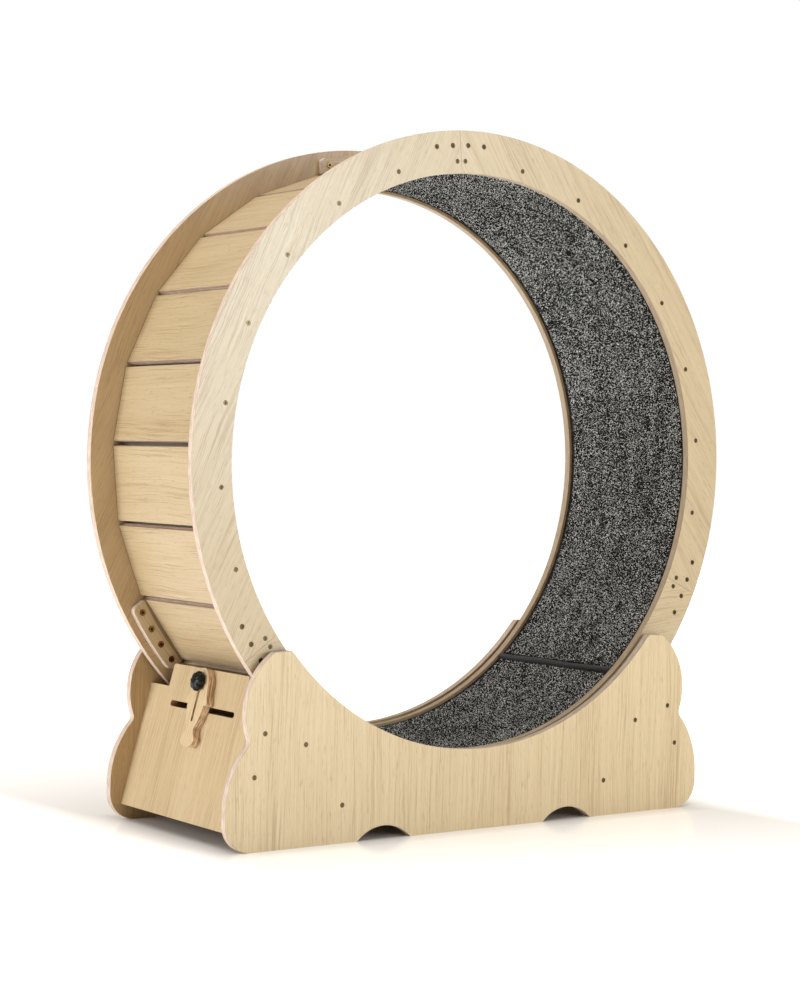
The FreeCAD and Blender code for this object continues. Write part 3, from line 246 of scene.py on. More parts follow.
# ---------------------------------------------------------------------------
# Shader trees
# ---------------------------------------------------------------------------
class Shader:
    """A material with a principled surface, and short calls for the nodes that feed it."""

    def __init__(self, name, **constants):
        self.material = bpy.data.materials.new(name)
        self.material.use_nodes = True
        self.tree = self.material.node_tree
        self.surface = self.tree.nodes["Principled BSDF"]
        for socket, value in constants.items():
            self.surface.inputs[socket.replace("_", " ")].default_value = value

    def node(self, kind, inputs=None, **settings):
        """A node of a kind, with its settings, and its inputs linked or set."""
        made = self.tree.nodes.new("ShaderNode" + kind)
        for name, value in settings.items():
            setattr(made, name, value)
        for socket, value in (inputs or {}).items():
            if isinstance(value, bpy.types.NodeSocket):
                self.tree.links.new(value, made.inputs[socket])
            else:
                made.inputs[socket].default_value = value
        return made

    def feed(self, socket, value):
        """Links a value to a socket of the surface."""
        self.tree.links.new(value, self.surface.inputs[socket])

    def math(self, operation, first, second=0.0, third=0.0):
        """One step of arithmetic; MULTIPLY_ADD gives first * second + third."""
        made = self.node("Math", {0: first, 1: second, 2: third}, operation=operation)
        return made.outputs[0]

    def place(self):
        """A point's coordinates in the row frame at rest."""
        return self.node("TexCoord").outputs["Object"]

    def normal(self):
        """The direction that the surface faces in the row frame at rest."""
        return self.node("TexCoord").outputs["Normal"]

    def dot(self, vector, direction):
        """The length of a vector along a direction, which is a socket or a triple."""
        if not isinstance(direction, bpy.types.NodeSocket):
            direction = tuple(direction)
        made = self.node("VectorMath", {0: vector, 1: direction}, operation="DOT_PRODUCT")
        return made.outputs["Value"]

    def vector(self, operation, first, second=(0.0, 0.0, 0.0)):
        """One step of arithmetic on a vector, part by part."""
        return self.node("VectorMath", {0: first, 1: second}, operation=operation).outputs[0]

    def split(self, vector):
        """A vector's x, y and z."""
        return self.node("SeparateXYZ", {0: vector}).outputs

    def join(self, x, y, z):
        """A vector from its x, y and z."""
        return self.node("CombineXYZ", {0: x, 1: y, 2: z}).outputs[0]

    def noise(self, vector, scale=1.0, detail=2.0, roughness=0.5):
        """Smooth noise from 0 to 1, with scale waves in a unit of the vector."""
        made = self.node("TexNoise", {"Vector": vector, "Scale": scale, "Detail": detail,
                                      "Roughness": roughness})
        return made.outputs["Fac"]

    def range(self, value, low, high, start=0.0, end=1.0):
        """value mapped from low..high to start..end, and kept within them."""
        made = self.node("MapRange", {"Value": value, "From Min": low, "From Max": high,
                                      "To Min": start, "To Max": end})
        return made.outputs[0]

    def mix(self, factor, first, second, blend="MIX"):
        """Two colours mixed; each is a socket or a triple."""
        made = self.tree.nodes.new("ShaderNodeMix")
        made.data_type = "RGBA"
        made.blend_type = blend
        factor_in = next(s for s in made.inputs if s.identifier == "Factor_Float")
        first_in = next(s for s in made.inputs if s.identifier == "A_Color")
        second_in = next(s for s in made.inputs if s.identifier == "B_Color")
        for socket, value in ((factor_in, factor), (first_in, first), (second_in, second)):
            if isinstance(value, bpy.types.NodeSocket):
                self.tree.links.new(value, socket)
            elif socket is factor_in:
                socket.default_value = value
            else:
                socket.default_value = (*value, 1)
        return next(s for s in made.outputs if s.identifier == "Result_Color")

    def bump(self, height, distance, strength):
        """Fine relief: height from 0 to 1 stands for distance in metres."""
        made = self.node("Bump", {"Height": height, "Distance": distance, "Strength": strength})
        self.feed("Normal", made.outputs[0])


# ---------------------------------------------------------------------------
# Boards
# ---------------------------------------------------------------------------
OAK_LIGHT = (0.660, 0.522, 0.324)
OAK_MIDDLE = (0.570, 0.437, 0.248)
OAK_DARK = (0.370, 0.245, 0.125)
OAK_LINE = (0.400, 0.265, 0.135)
EDGE_CREAM = (0.640, 0.530, 0.440)
EDGE_LINE = (0.340, 0.230, 0.140)
EDGE_TAN = (0.760, 0.550, 0.355)
SLOT_SHADE_BROWN = (0.480, 0.200, 0.085)     # painted shade inside the end panels' hand slots
SLOT_MIDDLE = Vector((0.0, 0.0, 0.1828))
SLOT_REACH = Vector((1.0, 0.095, 0.009))  # how far each way from it the slots' edges lie
JOINT_SHADE_DARK = (0.150, 0.090, 0.045)     # painted shade where boards meet
EDGE_BORE_SHADE = (0.500, 0.400, 0.285)      # inner edge of the rings, darker as painted shade inside the wheel
RING_INWARD_SHADE = (0.97, 0.88, 0.79)       # painted shade on the faces that look into the wheel
SIDE_INWARD_SHADE = (0.74, 0.64, 0.52)
FACE_LAYER = 0.7 * MM                  # printed face layer seen on a cut edge
LOCK_LINE = (0.30, 0.18, 0.09)         # layers on the lock plate's edge
FACE_LEAN = (0.72, 0.80)               # how squarely a surface lies to count as a board's face
INWARD_LEAN = (0.6, 0.8)               # and to carry the painted inward shade

# Noise in a board: waves per metre across its grain and along it, detail, roughness and seed
DRIFT = (9.0, 3.5, 1.0, 0.5, 0.0)
RIPPLE = (55.0, 24.0, 2.0, 0.6, 3.0)
BANDS = (24.0, 0.7, 2.0, 0.6, 1.0)
STREAKS = (150.0, 2.4, 2.0, 0.6, 5.0)
LINES = (520.0, 7.0, 2.0, 0.65, 9.0)
TICKS = (620.0, 60.0, 1.0, 0.5, 13.0)
DRIFT_REACH = 0.034                    # how far the grain wanders, in metres
RIPPLE_REACH = 0.0065
PLAIN_TONE = 0.66                      # the grain's tone, from 0 dark to 1 light
BAND_TONE = 0.5                        # and what each kind of noise adds to it
STREAK_TONE = 0.45
LINE_TONE = 1.05
SLAT_TONE = 0.16                       # and each slat's own lot
THREAD_BAND = 0.4                      # how much the bands gather the dark threads
THREAD_RANGE = (-0.05, -0.18)          # noise at which threads set in and are full
PORE_RANGE = (0.10, 0.26)              # and pores
PORE_SHARE = 0.5
FIBRE_FLAT = 60.0                      # fibre on the cut edges, in waves per metre
FIBRE_THROUGH = 380.0
FIBRE_RANGE = (0.42, 0.60)
RIM_SHARE = 0.70                       # how dark the face layer's edge is
LINE_REACH = 0.15                      # noise either way that the roughness follows
ROUGH_RANGE = (0.46, 0.36)             # from the grain's dark lines to its light ones
ROUGHER_EDGE = 0.20
GRAIN_RELIEF = 0.3 * MM
RELIEF_STRENGTH = 0.5

SLAT_LOTS = 9.0                        # metres of board that the slats are cut from
PLATE_MIDWAY = 0.48                    # radius of the joint plates' middles
PLATE_SHIFT = 3.7


class Grain:
    """Where a point lies in a board: across and along its grain and from its middle."""

    def __init__(self, across, along, through, facing, shift=0.0, tone=0.0, inward=0.0):
        self.across = across
        self.along = along
        self.through = through
        self.facing = facing           # 1 on the board's two faces, 0 on its cut edges
        self.shift = shift
        self.tone = tone
        self.inward = inward           # 1 on the face that looks into the wheel, where painted shade goes


def flat_grain(shader, across, along, out, middle, shift, inward=0.0):
    """The grain of a flat board, from its directions and its mid-plane's distance."""
    place = shader.place()
    lean = shader.dot(shader.normal(), out)
    through = shader.math("SUBTRACT", shader.dot(place, out), middle)
    if inward:
        inward = shader.range(shader.math("MULTIPLY", lean, inward), *INWARD_LEAN)
    return Grain(shader.dot(place, across), shader.dot(place, along), through,
                 shader.math("ABSOLUTE", lean), shift, inward=inward)


def wheel_turn(shader):
    """A point's angle and radius around the wheel's axis, and its y."""
    x, y, z = shader.split(shader.place())
    rise = shader.math("SUBTRACT", z, AXIS.z)
    turn = shader.math("ARCTAN2", rise, x)
    square = shader.math("ADD", shader.math("POWER", x, 2.0), shader.math("POWER", rise, 2.0))
    return turn, shader.math("SQRT", square), y


def slat_grain(shader):
    """The grain of the slats, each with a stretch of board of its own."""
    turn, radius, y = wheel_turn(shader)
    steps = shader.math("DIVIDE", shader.math("SUBTRACT", turn, FIRST_JOINT), SLAT_PITCH)
    number = shader.math("ROUND", steps)
    aside = shader.math("MULTIPLY", shader.math("SUBTRACT", steps, number),
                        SLAT_PITCH * SLAT_MIDDLE_RADIUS)
    lot = shader.node("TexWhiteNoise", {"W": number}, noise_dimensions="1D").outputs["Value"]
    middle = shader.math("ADD", shader.math("MULTIPLY", number, SLAT_PITCH), FIRST_JOINT)
    out = shader.join(shader.math("COSINE", middle), 0.0, shader.math("SINE", middle))
    facing = shader.math("ABSOLUTE", shader.dot(shader.normal(), out))
    through = shader.math("SUBTRACT", radius, SLAT_MIDDLE_RADIUS)
    return Grain(aside, y, through, facing, shader.math("MULTIPLY", lot, SLAT_LOTS),
                 shader.math("SUBTRACT", lot, 0.5))


def plate_grain(shader, side_sign):
    """The grain of the joint plates, along the ring."""
    turn, radius, y = wheel_turn(shader)
    facing = shader.math("ABSOLUTE", shader.dot(shader.normal(), (0, 1, 0)))
    through = shader.math("SUBTRACT", y, side_sign * (RING_BACK - BOARD / 2))
    return Grain(radius, shader.math("MULTIPLY", turn, PLATE_MIDWAY), through, facing, PLATE_SHIFT)


def slot_shaded_edge(shader, edge):
    """The cut edge's colour, browner inside the hand slots as painted shade."""
    apart = shader.vector("SUBTRACT", shader.place(), tuple(SLOT_MIDDLE))
    apart = shader.vector("ABSOLUTE", apart)
    _, y, z = shader.split(shader.vector("DIVIDE", apart, tuple(SLOT_REACH)))
    beyond = shader.math("MAXIMUM", y, z)
    return shader.mix(shader.range(beyond, 0.99, 1.01), SLOT_SHADE_BROWN, edge)


def oak(name, make_grain, edge=EDGE_CREAM, line=EDGE_LINE, wavy=1.0, shade=1.0, thready=0.5,
        inward=SIDE_INWARD_SHADE, contact=None, layers=0.42, slotted=False):
    """Light oak-effect board: streaks, pores and slow waves on its faces, plain cut edges.

    wavy scales how the grain wanders, shade its colours, thready its dark threads, and layers
    the lines on its edges.  shade is partly the board's own tone and partly painted light and
    shade, set per board for how much lamp light the board gets.  inward tints the face that
    looks into the wheel with painted shade, and contact gives how near a point is to a
    neighbour, where painted shade darkens it.
    """
    shader = Shader(name)
    grain = make_grain(shader)
    # shade scales the board's colours: partly its own tone, partly painted light and shade
    light, middle, dark, thread = (tuple(shade * channel for channel in color)
                                   for color in (OAK_LIGHT, OAK_MIDDLE, OAK_DARK, OAK_LINE))
    along = shader.math("ADD", grain.along, grain.shift)

    def stretched(across, per_metre, along_per_metre, detail, rough, seed):
        """Noise drawn out along the grain, around zero."""
        vector = shader.join(shader.math("MULTIPLY", across, per_metre),
                             shader.math("MULTIPLY", along, along_per_metre),
                             shader.math("ADD", grain.shift, seed))
        return shader.math("SUBTRACT", shader.noise(vector, 1.0, detail, rough), 0.5)

    drift = stretched(grain.across, *DRIFT)
    ripple = stretched(grain.across, *RIPPLE)
    across = shader.math("ADD", grain.across, shader.math("MULTIPLY", drift, DRIFT_REACH * wavy))
    across = shader.math("ADD", across, shader.math("MULTIPLY", ripple, RIPPLE_REACH * wavy))

    bands = stretched(across, *BANDS)
    streaks = stretched(across, *STREAKS)
    lines = stretched(across, *LINES)
    ticks = stretched(across, *TICKS)
    tone = shader.math("MULTIPLY_ADD", bands, BAND_TONE, PLAIN_TONE)
    tone = shader.math("MULTIPLY_ADD", streaks, STREAK_TONE, tone)
    tone = shader.math("MULTIPLY_ADD", lines, LINE_TONE, tone)
    if grain.tone:
        tone = shader.math("MULTIPLY_ADD", grain.tone, SLAT_TONE, tone)
    color = shader.mix(shader.range(tone, 0.5, 1.0), middle, light)
    color = shader.mix(shader.range(tone, 0.5, 0.0), color, dark)
    threads = shader.math("MULTIPLY_ADD", bands, THREAD_BAND, lines)
    color = shader.mix(shader.range(threads, *THREAD_RANGE, 0.0, thready), color, thread)
    pores = shader.range(ticks, *PORE_RANGE)
    color = shader.mix(shader.math("MULTIPLY", pores, PORE_SHARE), color, dark)
    # painted shade on the face that looks into the wheel
    if grain.inward:
        color = shader.mix(grain.inward, color, shader.mix(1.0, color, inward, "MULTIPLY"))

    fibre = shader.noise(shader.join(shader.math("MULTIPLY", grain.across, FIBRE_FLAT),
                                     shader.math("MULTIPLY", grain.along, FIBRE_FLAT),
                                     shader.math("MULTIPLY", grain.through, FIBRE_THROUGH)))
    # the rings' inner edges are darker: painted shade inside the wheel
    if edge is EDGE_BORE_SHADE:
        bored = shader.range(wheel_turn(shader)[1], RING_MIDWAY - MM, RING_MIDWAY + MM)
        edge = shader.mix(bored, EDGE_BORE_SHADE, EDGE_CREAM)
    # painted shade on the cut edges inside the hand slots
    if slotted:
        edge = slot_shaded_edge(shader, edge)
    cut = shader.mix(shader.range(fibre, *FIBRE_RANGE, 0.0, layers), edge, line)
    rim = shader.range(shader.math("ABSOLUTE", grain.through), BOARD / 2 - FACE_LAYER * 1.4,
                       BOARD / 2 - FACE_LAYER, 0.0, RIM_SHARE)
    cut = shader.mix(rim, cut, line)
    face = shader.range(grain.facing, *FACE_LEAN)
    color = shader.mix(face, cut, color)
    # painted shade where a board meets its neighbour
    if contact:
        color = shader.mix(contact(shader, grain), color, JOINT_SHADE_DARK)
    shader.feed("Base Color", color)
    rough = shader.range(lines, -LINE_REACH, LINE_REACH, *ROUGH_RANGE)
    rougher = shader.range(face, 0.0, 1.0, ROUGHER_EDGE, 0.0)
    shader.feed("Roughness", shader.math("ADD", rough, rougher))
    relief = shader.math("SUBTRACT", lines, shader.math("MULTIPLY", pores, PORE_SHARE))
    shader.bump(shader.math("MULTIPLY", relief, face), GRAIN_RELIEF, RELIEF_STRENGTH)
    return shader.material


def slat_contact_shade(shader, grain):
    """How near a slat's point is to a ring, for the painted shade there."""
    reach = shader.math("ABSOLUTE", grain.along)
    return shader.range(reach, RING_BACK - 2.6 * MM, RING_BACK - 1.0 * MM, 0.0, 0.75)


def plate_contact_shade(shader, grain):
    """How near a joint plate's point is to the slats under it, for the painted shade there."""
    return shader.range(grain.across, PLATE_INNER + 3.4 * MM, PLATE_INNER + 2.0 * MM, 0.0, 0.8)


def turned(degrees):
    """A direction in the wheel's own plane."""
    angle = math.radians(degrees)
    return Vector((math.cos(angle), 0, math.sin(angle)))


def ring_finish(side, sign, number):
    """The finish of a ring segment, whose grain lies across its own middle."""
    name = "ring_%s_%d" % (side, number + 1)
    middle = math.degrees(FIRST_JOINT) + (number + 0.5) * 360 / RING_SEGMENTS
    shift = 1.7 * number + (4.1 if side == "far" else 0.0)

    def grain(shader):
        return flat_grain(shader, turned(middle), turned(middle + 90), (0, 1, 0),
                          sign * RING_MIDDLE, shift, -sign)

    return oak("oak_" + name, grain, edge=EDGE_BORE_SHADE, wavy=0.8, shade=0.76, thready=0.4,
               inward=RING_INWARD_SHADE)


def side_panel_finish(side, sign):
    """The finish of a side panel, with its grain upright."""
    def grain(shader):
        return flat_grain(shader, (1, 0, 0), (0, 0, 1), (0, 1, 0), sign * SIDE_MIDDLE,
                          2.3 + sign, -sign)

    return oak("oak_side_panel_" + side, grain, wavy=0.45, shade=0.95)


def end_panel_finish(end, sign):
    """The finish of an inclined end panel, with its grain up the slope."""
    out = Vector((sign * -KNOB_OUT.x, 0, KNOB_OUT.z))
    up = Vector((sign * -LOCK_UP.x, 0, LOCK_UP.z))

    def grain(shader):
        return flat_grain(shader, (0, 1, 0), up, out, board_middle("end_panel_" + end, out),
                          5.9 + sign)

    return oak("oak_end_panel_" + end, grain, wavy=0.8, shade=0.92, thready=0.35, slotted=True)


def lock_grain(shader):
    """The grain of the lock plate, up the slope."""
    middle = board_middle("lock_plate", KNOB_OUT)
    return flat_grain(shader, (0, 1, 0), LOCK_UP, KNOB_OUT, middle, 8.2)


def board_finishes():
    """One finish for each wooden node."""
    finishes = {}
    for side, sign in (("near", -1), ("far", 1)):
        for number in range(RING_SEGMENTS):
            finishes["ring_%s_%d" % (side, number + 1)] = ring_finish(side, sign, number)
        finishes["joint_plates_" + side] = oak(
            "oak_joint_plates_" + side, lambda shader, s=sign: plate_grain(shader, s),
            shade=0.84, contact=plate_contact_shade)
        finishes["side_panel_" + side] = side_panel_finish(side, sign)
    slats = oak("oak_slats", slat_grain, wavy=0.65, shade=0.79, contact=slat_contact_shade)
    for number in range(1, SLATS + 1):
        finishes["slat_%02d" % number] = slats
    for end, sign in (("left", -1), ("right", 1)):
        finishes["end_panel_" + end] = end_panel_finish(end, sign)
        finishes["roller_board_" + end] = oak(
            "oak_roller_board_" + end,
            lambda shader, n="roller_board_" + end, s=sign: roller_grain(shader, n, s))
    finishes["lock_plate"] = oak("oak_lock_plate", lock_grain, edge=EDGE_TAN, line=LOCK_LINE,
                                 layers=0.85)
    return finishes


def board_middle(name, out):
    """Distance of a board's mid-plane from the origin, along its own normal."""
    reach = node_points(name) @ np.array(out)
    return (reach.min() + reach.max()) / 2


def roller_grain(shader, name, sign):
    """The grain of a roller board, from the direction its thin side faces."""
    points = node_points(name)
    spread = np.linalg.svd(points - points.mean(0), full_matrices=False)[2]
    out = Vector(spread[2])
    up = out.cross(Vector((0, 1, 0)))
    return flat_grain(shader, (0, 1, 0), up, out, board_middle(name, out), 6.6 + sign)


# ---------------------------------------------------------------------------
# Fittings
# ---------------------------------------------------------------------------
def metal(name, color, dark, roughness, metallic=1.0, gloss=0.5, mottle=None):
    """Plated or blackened steel with faint blotches and fine scratches.

    mottle is the colour of a second plating, which some of the pieces in a node have.
    """
    shader = Shader(name, Metallic=metallic, Specular_IOR_Level=gloss)
    blotch = shader.noise(shader.place(), 220.0, 3.0)
    fine = shader.noise(shader.place(), 1600.0, 2.0)
    if mottle:
        plating = shader.noise(shader.place(), 36.0, 0.0)
        color = shader.mix(shader.range(plating, 0.48, 0.52), color, mottle)
    shader.feed("Base Color", shader.mix(shader.range(blotch, 0.35, 0.75), color, dark))
    shader.feed("Roughness", shader.range(fine, 0.3, 0.7, roughness - 0.06, roughness + 0.08))
    shader.bump(fine, 0.00004, 0.4)
    return shader.material


def plastic(name, color, roughness, texture=500.0, gloss=0.5):
    """Moulded plastic with a fine surface texture."""
    shader = Shader(name, Specular_IOR_Level=gloss)
    speckle = shader.noise(shader.place(), texture, 3.0)
    lighter = tuple(min(1.0, channel * 1.25 + 0.004) for channel in color)
    shader.feed("Base Color", shader.mix(speckle, color, lighter))
    shader.feed("Roughness", shader.range(speckle, 0.3, 0.7, roughness - 0.05, roughness + 0.05))
    shader.bump(speckle, 0.00005, 0.5)
    return shader.material


def fitting_finishes():
    """Finishes of the fasteners, rollers and other small fittings."""
    yellow = metal("yellow_zinc", (0.110, 0.075, 0.030), (0.045, 0.030, 0.012), 0.32,
                   metallic=0.5, gloss=0.2)
    black = metal("black_oxide", (0.080, 0.056, 0.022), (0.035, 0.022, 0.009), 0.34,
                  metallic=0.45, gloss=0.10)
    copper = metal("dull_copper", (0.330, 0.115, 0.060), (0.140, 0.052, 0.030), 0.36,
                   mottle=(0.30, 0.21, 0.075))
    zinc = metal("bright_zinc", (0.62, 0.63, 0.64), (0.45, 0.46, 0.48), 0.34)
    nylon = plastic("nylon_white", (0.72, 0.71, 0.67), 0.45)
    finishes = {"slat_screws": yellow, "side_screws": yellow, "joint_bolts": black,
                "lock_washer": black, "joint_nuts": copper, "lock_insert": copper,
                "roller_axles": zinc, "axle_nuts": zinc, "axle_sleeves": zinc,
                "bracket_screws": zinc}
    for end in ("left", "right"):
        for side in ("near", "far"):
            finishes["bracket_%s_%s" % (end, side)] = zinc
            finishes["roller_%s_%s" % (end, side)] = nylon
    return finishes


# ---------------------------------------------------------------------------
# Carpet
# ---------------------------------------------------------------------------
FLECK_ROWS = 1250.0                    # yarn flecks per metre around the wheel
FLECK_LENGTHS = 780.0                  # and across it
FLECK_JITTER = 0.9
WAVER_SCALE = 0.35                     # of the rows' waver, in waves per fleck
WAVER_REACH = 3.0                      # and how many flecks it moves a row by
CLOUD_ROWS = 9.0                       # cloudy patches per metre around the wheel
CLOUD_LENGTHS = 34.0                   # and across it
CLOUD_SHARE = 0.045
YARN_BLACK = (0.001, 0.001, 0.001)
YARN_GREY = (0.020, 0.021, 0.020)
YARN_LIGHT = (0.94, 0.96, 0.93)
YARN_HAIR = (0.03, 0.03, 0.03)
GREY_FROM = (0.32, 0.55)               # share of the flecks where grey and light yarn set in
LIGHT_FROM = (0.815, 0.835)
HAIRS = 2200.0                         # per metre
HAIR_SHARE = 0.3
HAIR_RELIEF = 0.4 * MM
HAIR_STRENGTH = 0.7
CARPET_SHADE_RIM = 9.0 * MM                  # border of the pile beside the rings, darkened as painted shade
RIM_SHADE_FULL = 0.7 * CARPET_SHADE_RIM
RIM_SHADE_DARK = (0.010, 0.008, 0.007)
RIM_SHADE_DARKNESS = 0.92
SEAM_SHADE = (4.4 * MM, 2.6 * MM)      # from the seam's edge, where the shade sets in and is full
BACKING = (0.22, 0.185, 0.145)
BACKING_DEPTH = (3.0 * MM, 2.0 * MM)   # from the strip's back

TAPE_DARK = (0.010, 0.011, 0.012)
TAPE_THREAD = (0.030, 0.032, 0.034)
TAPE_WEAR = (0.055, 0.058, 0.060)
TAPE_CROSS = 5200.0                    # threads' angle per metre across the wheel
TAPE_ALONG = 2600.0                    # and per radian around it

BINDING_CROWN = 1.4 * MM               # how far the bound edge rounds up over the pile
BINDING_LIFT = 2.6 * MM                # and how far it lifts at its near end
LIFT_SHARE = 0.10                      # share of its length that the lift fades over
BINDING_SWAY = 0.7 * MM
SWAY_BENDS = 4.0
LOOP_PITCH = 2.2 * MM                  # half of the loops' diagonal spacing
LOOP_JITTER = 0.35 * LOOP_PITCH
PILE_HEIGHT = 1.5 * MM
PILE_VARIATION = 0.5 * MM
SEAM_PLAY = 0.8 * MM                   # between the strip's ends and the bound edge


def carpet_finish():
    """Charcoal loop pile: short yarn flecks from black to light grey, in rows across."""
    shader = Shader("loop_pile", Roughness=0.95, Specular_IOR_Level=0.1)
    turn, radius, y = wheel_turn(shader)
    row = shader.math("MULTIPLY", turn, CARPET_INNER * FLECK_ROWS)
    length = shader.math("MULTIPLY", y, FLECK_LENGTHS)
    waver = shader.noise(shader.join(row, length, 0.0), WAVER_SCALE, 1.0)
    row = shader.math("MULTIPLY_ADD", turn, CARPET_INNER * FLECK_ROWS,
                      shader.math("MULTIPLY", waver, WAVER_REACH))
    yarn = shader.node("TexVoronoi", {"Vector": shader.join(row, length, 0.0), "Scale": 1.0,
                                      "Randomness": FLECK_JITTER})
    pick = shader.split(yarn.outputs["Color"])[0]
    drawn = shader.join(shader.math("MULTIPLY", turn, CARPET_INNER * CLOUD_ROWS),
                        shader.math("MULTIPLY", y, CLOUD_LENGTHS), 0.0)
    clouds = shader.range(shader.noise(drawn), 0.35, 0.65, -CLOUD_SHARE, CLOUD_SHARE)
    lot = shader.math("ADD", pick, clouds)
    color = shader.mix(shader.range(lot, *GREY_FROM), YARN_BLACK, YARN_GREY)
    color = shader.mix(shader.range(lot, *LIGHT_FROM), color, YARN_LIGHT)
    hairs = shader.noise(shader.place(), HAIRS)
    color = shader.mix(shader.range(hairs, 0.3, 0.7, 0.0, HAIR_SHARE), color, YARN_HAIR)
    # painted shade along the pile's border beside the rings and beside the seam
    rim = shader.range(shader.math("ABSOLUTE", y), CARPET_HALF - CARPET_SHADE_RIM, CARPET_HALF - RIM_SHADE_FULL,
                       0.0, RIM_SHADE_DARKNESS)
    beside = shader.math("ABSOLUTE", shader.math("SUBTRACT", turn, (SEAM_HIGH + SEAM_LOW) / 2))
    beside = shader.math("MULTIPLY", beside, CARPET_INNER)
    seam = (SEAM_HIGH - SEAM_LOW) / 2 * CARPET_INNER
    shade = shader.range(beside, seam + SEAM_SHADE[0], seam + SEAM_SHADE[1], 0.0, RIM_SHADE_DARKNESS)
    color = shader.mix(shader.math("MAXIMUM", rim, shade), color, RIM_SHADE_DARK)
    back = shader.range(radius, CARPET_OUTER - BACKING_DEPTH[0], CARPET_OUTER - BACKING_DEPTH[1])
    shader.feed("Base Color", shader.mix(back, color, BACKING))
    shader.bump(hairs, HAIR_RELIEF, HAIR_STRENGTH)
    return shader.material


def binding_finish():
    """Near-black woven edge tape."""
    shader = Shader("edge_tape", Roughness=0.72, Sheen_Weight=0.2)
    turn, _, y = wheel_turn(shader)
    cross = shader.math("SINE", shader.math("MULTIPLY", y, TAPE_CROSS))
    warp = shader.math("SINE", shader.math("MULTIPLY", turn, TAPE_ALONG))
    weave = shader.range(shader.math("MULTIPLY", cross, warp), -1.0, 1.0)
    wear = shader.range(shader.noise(shader.place(), 180.0, 3.0), 0.5, 0.8, 0.0, 0.4)
    color = shader.mix(weave, TAPE_DARK, TAPE_THREAD)
    shader.feed("Base Color", shader.mix(wear, color, TAPE_WEAR))
    shader.bump(weave, 0.3 * MM, 0.6)
    return shader.material


def mesh_object(name, points, faces):
    """A smooth mesh object in the row frame, with its faces all facing out."""
    mesh = bpy.data.meshes.new(name)
    mesh.from_pydata(points, [], faces)
    mesh.validate()
    shell = bmesh.new()
    shell.from_mesh(mesh)
    bmesh.ops.recalc_face_normals(shell, faces=shell.faces)
    shell.to_mesh(mesh)
    shell.free()
    mesh.polygons.foreach_set("use_smooth", [True] * len(mesh.polygons))
    mesh.update()
    made = bpy.data.objects.new(name, mesh)
    bpy.context.scene.collection.objects.link(made)
    return made


def carpet_pile(finish):
    """A closed strip of loop pile, from one side of the seam round to the other."""
    gap = SEAM_PLAY / CARPET_INNER
    start = SEAM_HIGH + gap
    end = SEAM_LOW - gap + 2 * math.pi
    rows = int((end - start) * CARPET_INNER / LOOP_PITCH)
    columns = int(2 * CARPET_HALF / LOOP_PITCH)
    draw = np.random.default_rng(7)
    turns = np.linspace(start, end, rows + 1)
    across = np.linspace(-CARPET_HALF, CARPET_HALF, columns + 1)
    row, column = np.meshgrid(np.arange(rows + 1), np.arange(columns + 1), indexing="ij")
    loop = ((row + column) % 2).astype(float)
    rise = loop * PILE_HEIGHT + (draw.random(loop.shape) - 0.5) * PILE_VARIATION
    border = (row == 0) | (row == rows) | (column == 0) | (column == columns)
    rise = np.where(border, 0.0, rise)
    aside = (draw.random(loop.shape) - 0.5) * LOOP_JITTER * ~border
    along = (draw.random(loop.shape) - 0.5) * LOOP_JITTER / CARPET_INNER * ~border
    angle = turns[:, None] + along
    radius = CARPET_INNER + PILE_HEIGHT - rise
    top = np.stack([radius * np.cos(angle), across[None, :] + aside,
                    AXIS.z + radius * np.sin(angle)], -1)
    width = columns + 1
    points = list(map(tuple, top.reshape(-1, 3)))
    first_back = len(points)
    for turn in turns:                 # the strip's plain back has only its two edges
        for side in (-CARPET_HALF, CARPET_HALF):
            points.append((CARPET_OUTER * np.cos(turn), side, AXIS.z + CARPET_OUTER * np.sin(turn)))
    faces = []
    for i in range(rows):
        for j in range(columns):
            a = i * width + j
            faces.append((a, a + 1, a + width + 1, a + width))
        left, right = first_back + 2 * i, first_back + 2 * i + 1
        faces.append((left, left + 2, right + 2, right))
        faces.append((i * width, (i + 1) * width, left + 2, left))
        faces.append(((i + 1) * width - 1, right, right + 2, (i + 2) * width - 1))
    faces.append(tuple(range(width)) + (first_back + 1, first_back))
    last = rows * width
    last_back = first_back + 2 * rows
    faces.append(tuple(range(last + width - 1, last - 1, -1)) + (last_back, last_back + 1))
    pile = mesh_object("carpet_pile", points, faces)
    pile.data.materials.append(finish)
    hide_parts("carpet")
    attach(pile, "wheel")
    return pile


def rounded(value, power):
    """A sine or cosine drawn out towards a squarer section."""
    return math.copysign(abs(value) ** power, value)


def bound_edge(finish):
    """The carpet's bound end: a rolled tape along the seam, which lifts a little at one end."""
    rings = 96
    sides = 14
    half = (SEAM_HIGH - SEAM_LOW) / 2
    middle = (SEAM_HIGH + SEAM_LOW) / 2
    thick = (CARPET_OUTER - BINDING_INNER) / 2
    points = []
    for k in range(rings + 1):
        share = k / rings
        y = -CARPET_HALF + 2 * CARPET_HALF * share
        lift = BINDING_LIFT * math.exp(-(share / LIFT_SHARE) ** 2)
        sway = BINDING_SWAY * math.sin(SWAY_BENDS * share * math.pi) / CARPET_INNER
        for side in range(sides):
            angle = 2 * math.pi * side / sides
            wide = rounded(math.cos(angle), 0.7)
            tall = rounded(math.sin(angle), 0.8)
            turn = middle + sway + half * 0.98 * wide
            radius = ((CARPET_OUTER + BINDING_INNER) / 2 - thick * tall
                      - (lift + BINDING_CROWN) * max(0.0, tall))
            points.append(around(radius, turn, y))
    faces = []
    for k in range(rings):
        for side in range(sides):
            a = k * sides + side
            b = k * sides + (side + 1) % sides
            faces.append((a, a + sides, b + sides, b))
    faces.append(tuple(range(sides)))
    faces.append(tuple(range((rings + 1) * sides - 1, rings * sides - 1, -1)))
    tape = mesh_object("carpet_bound_edge", points, faces)
    tape.data.materials.append(finish)
    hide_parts("carpet_binding")
    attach(tape, "wheel")
    return tape


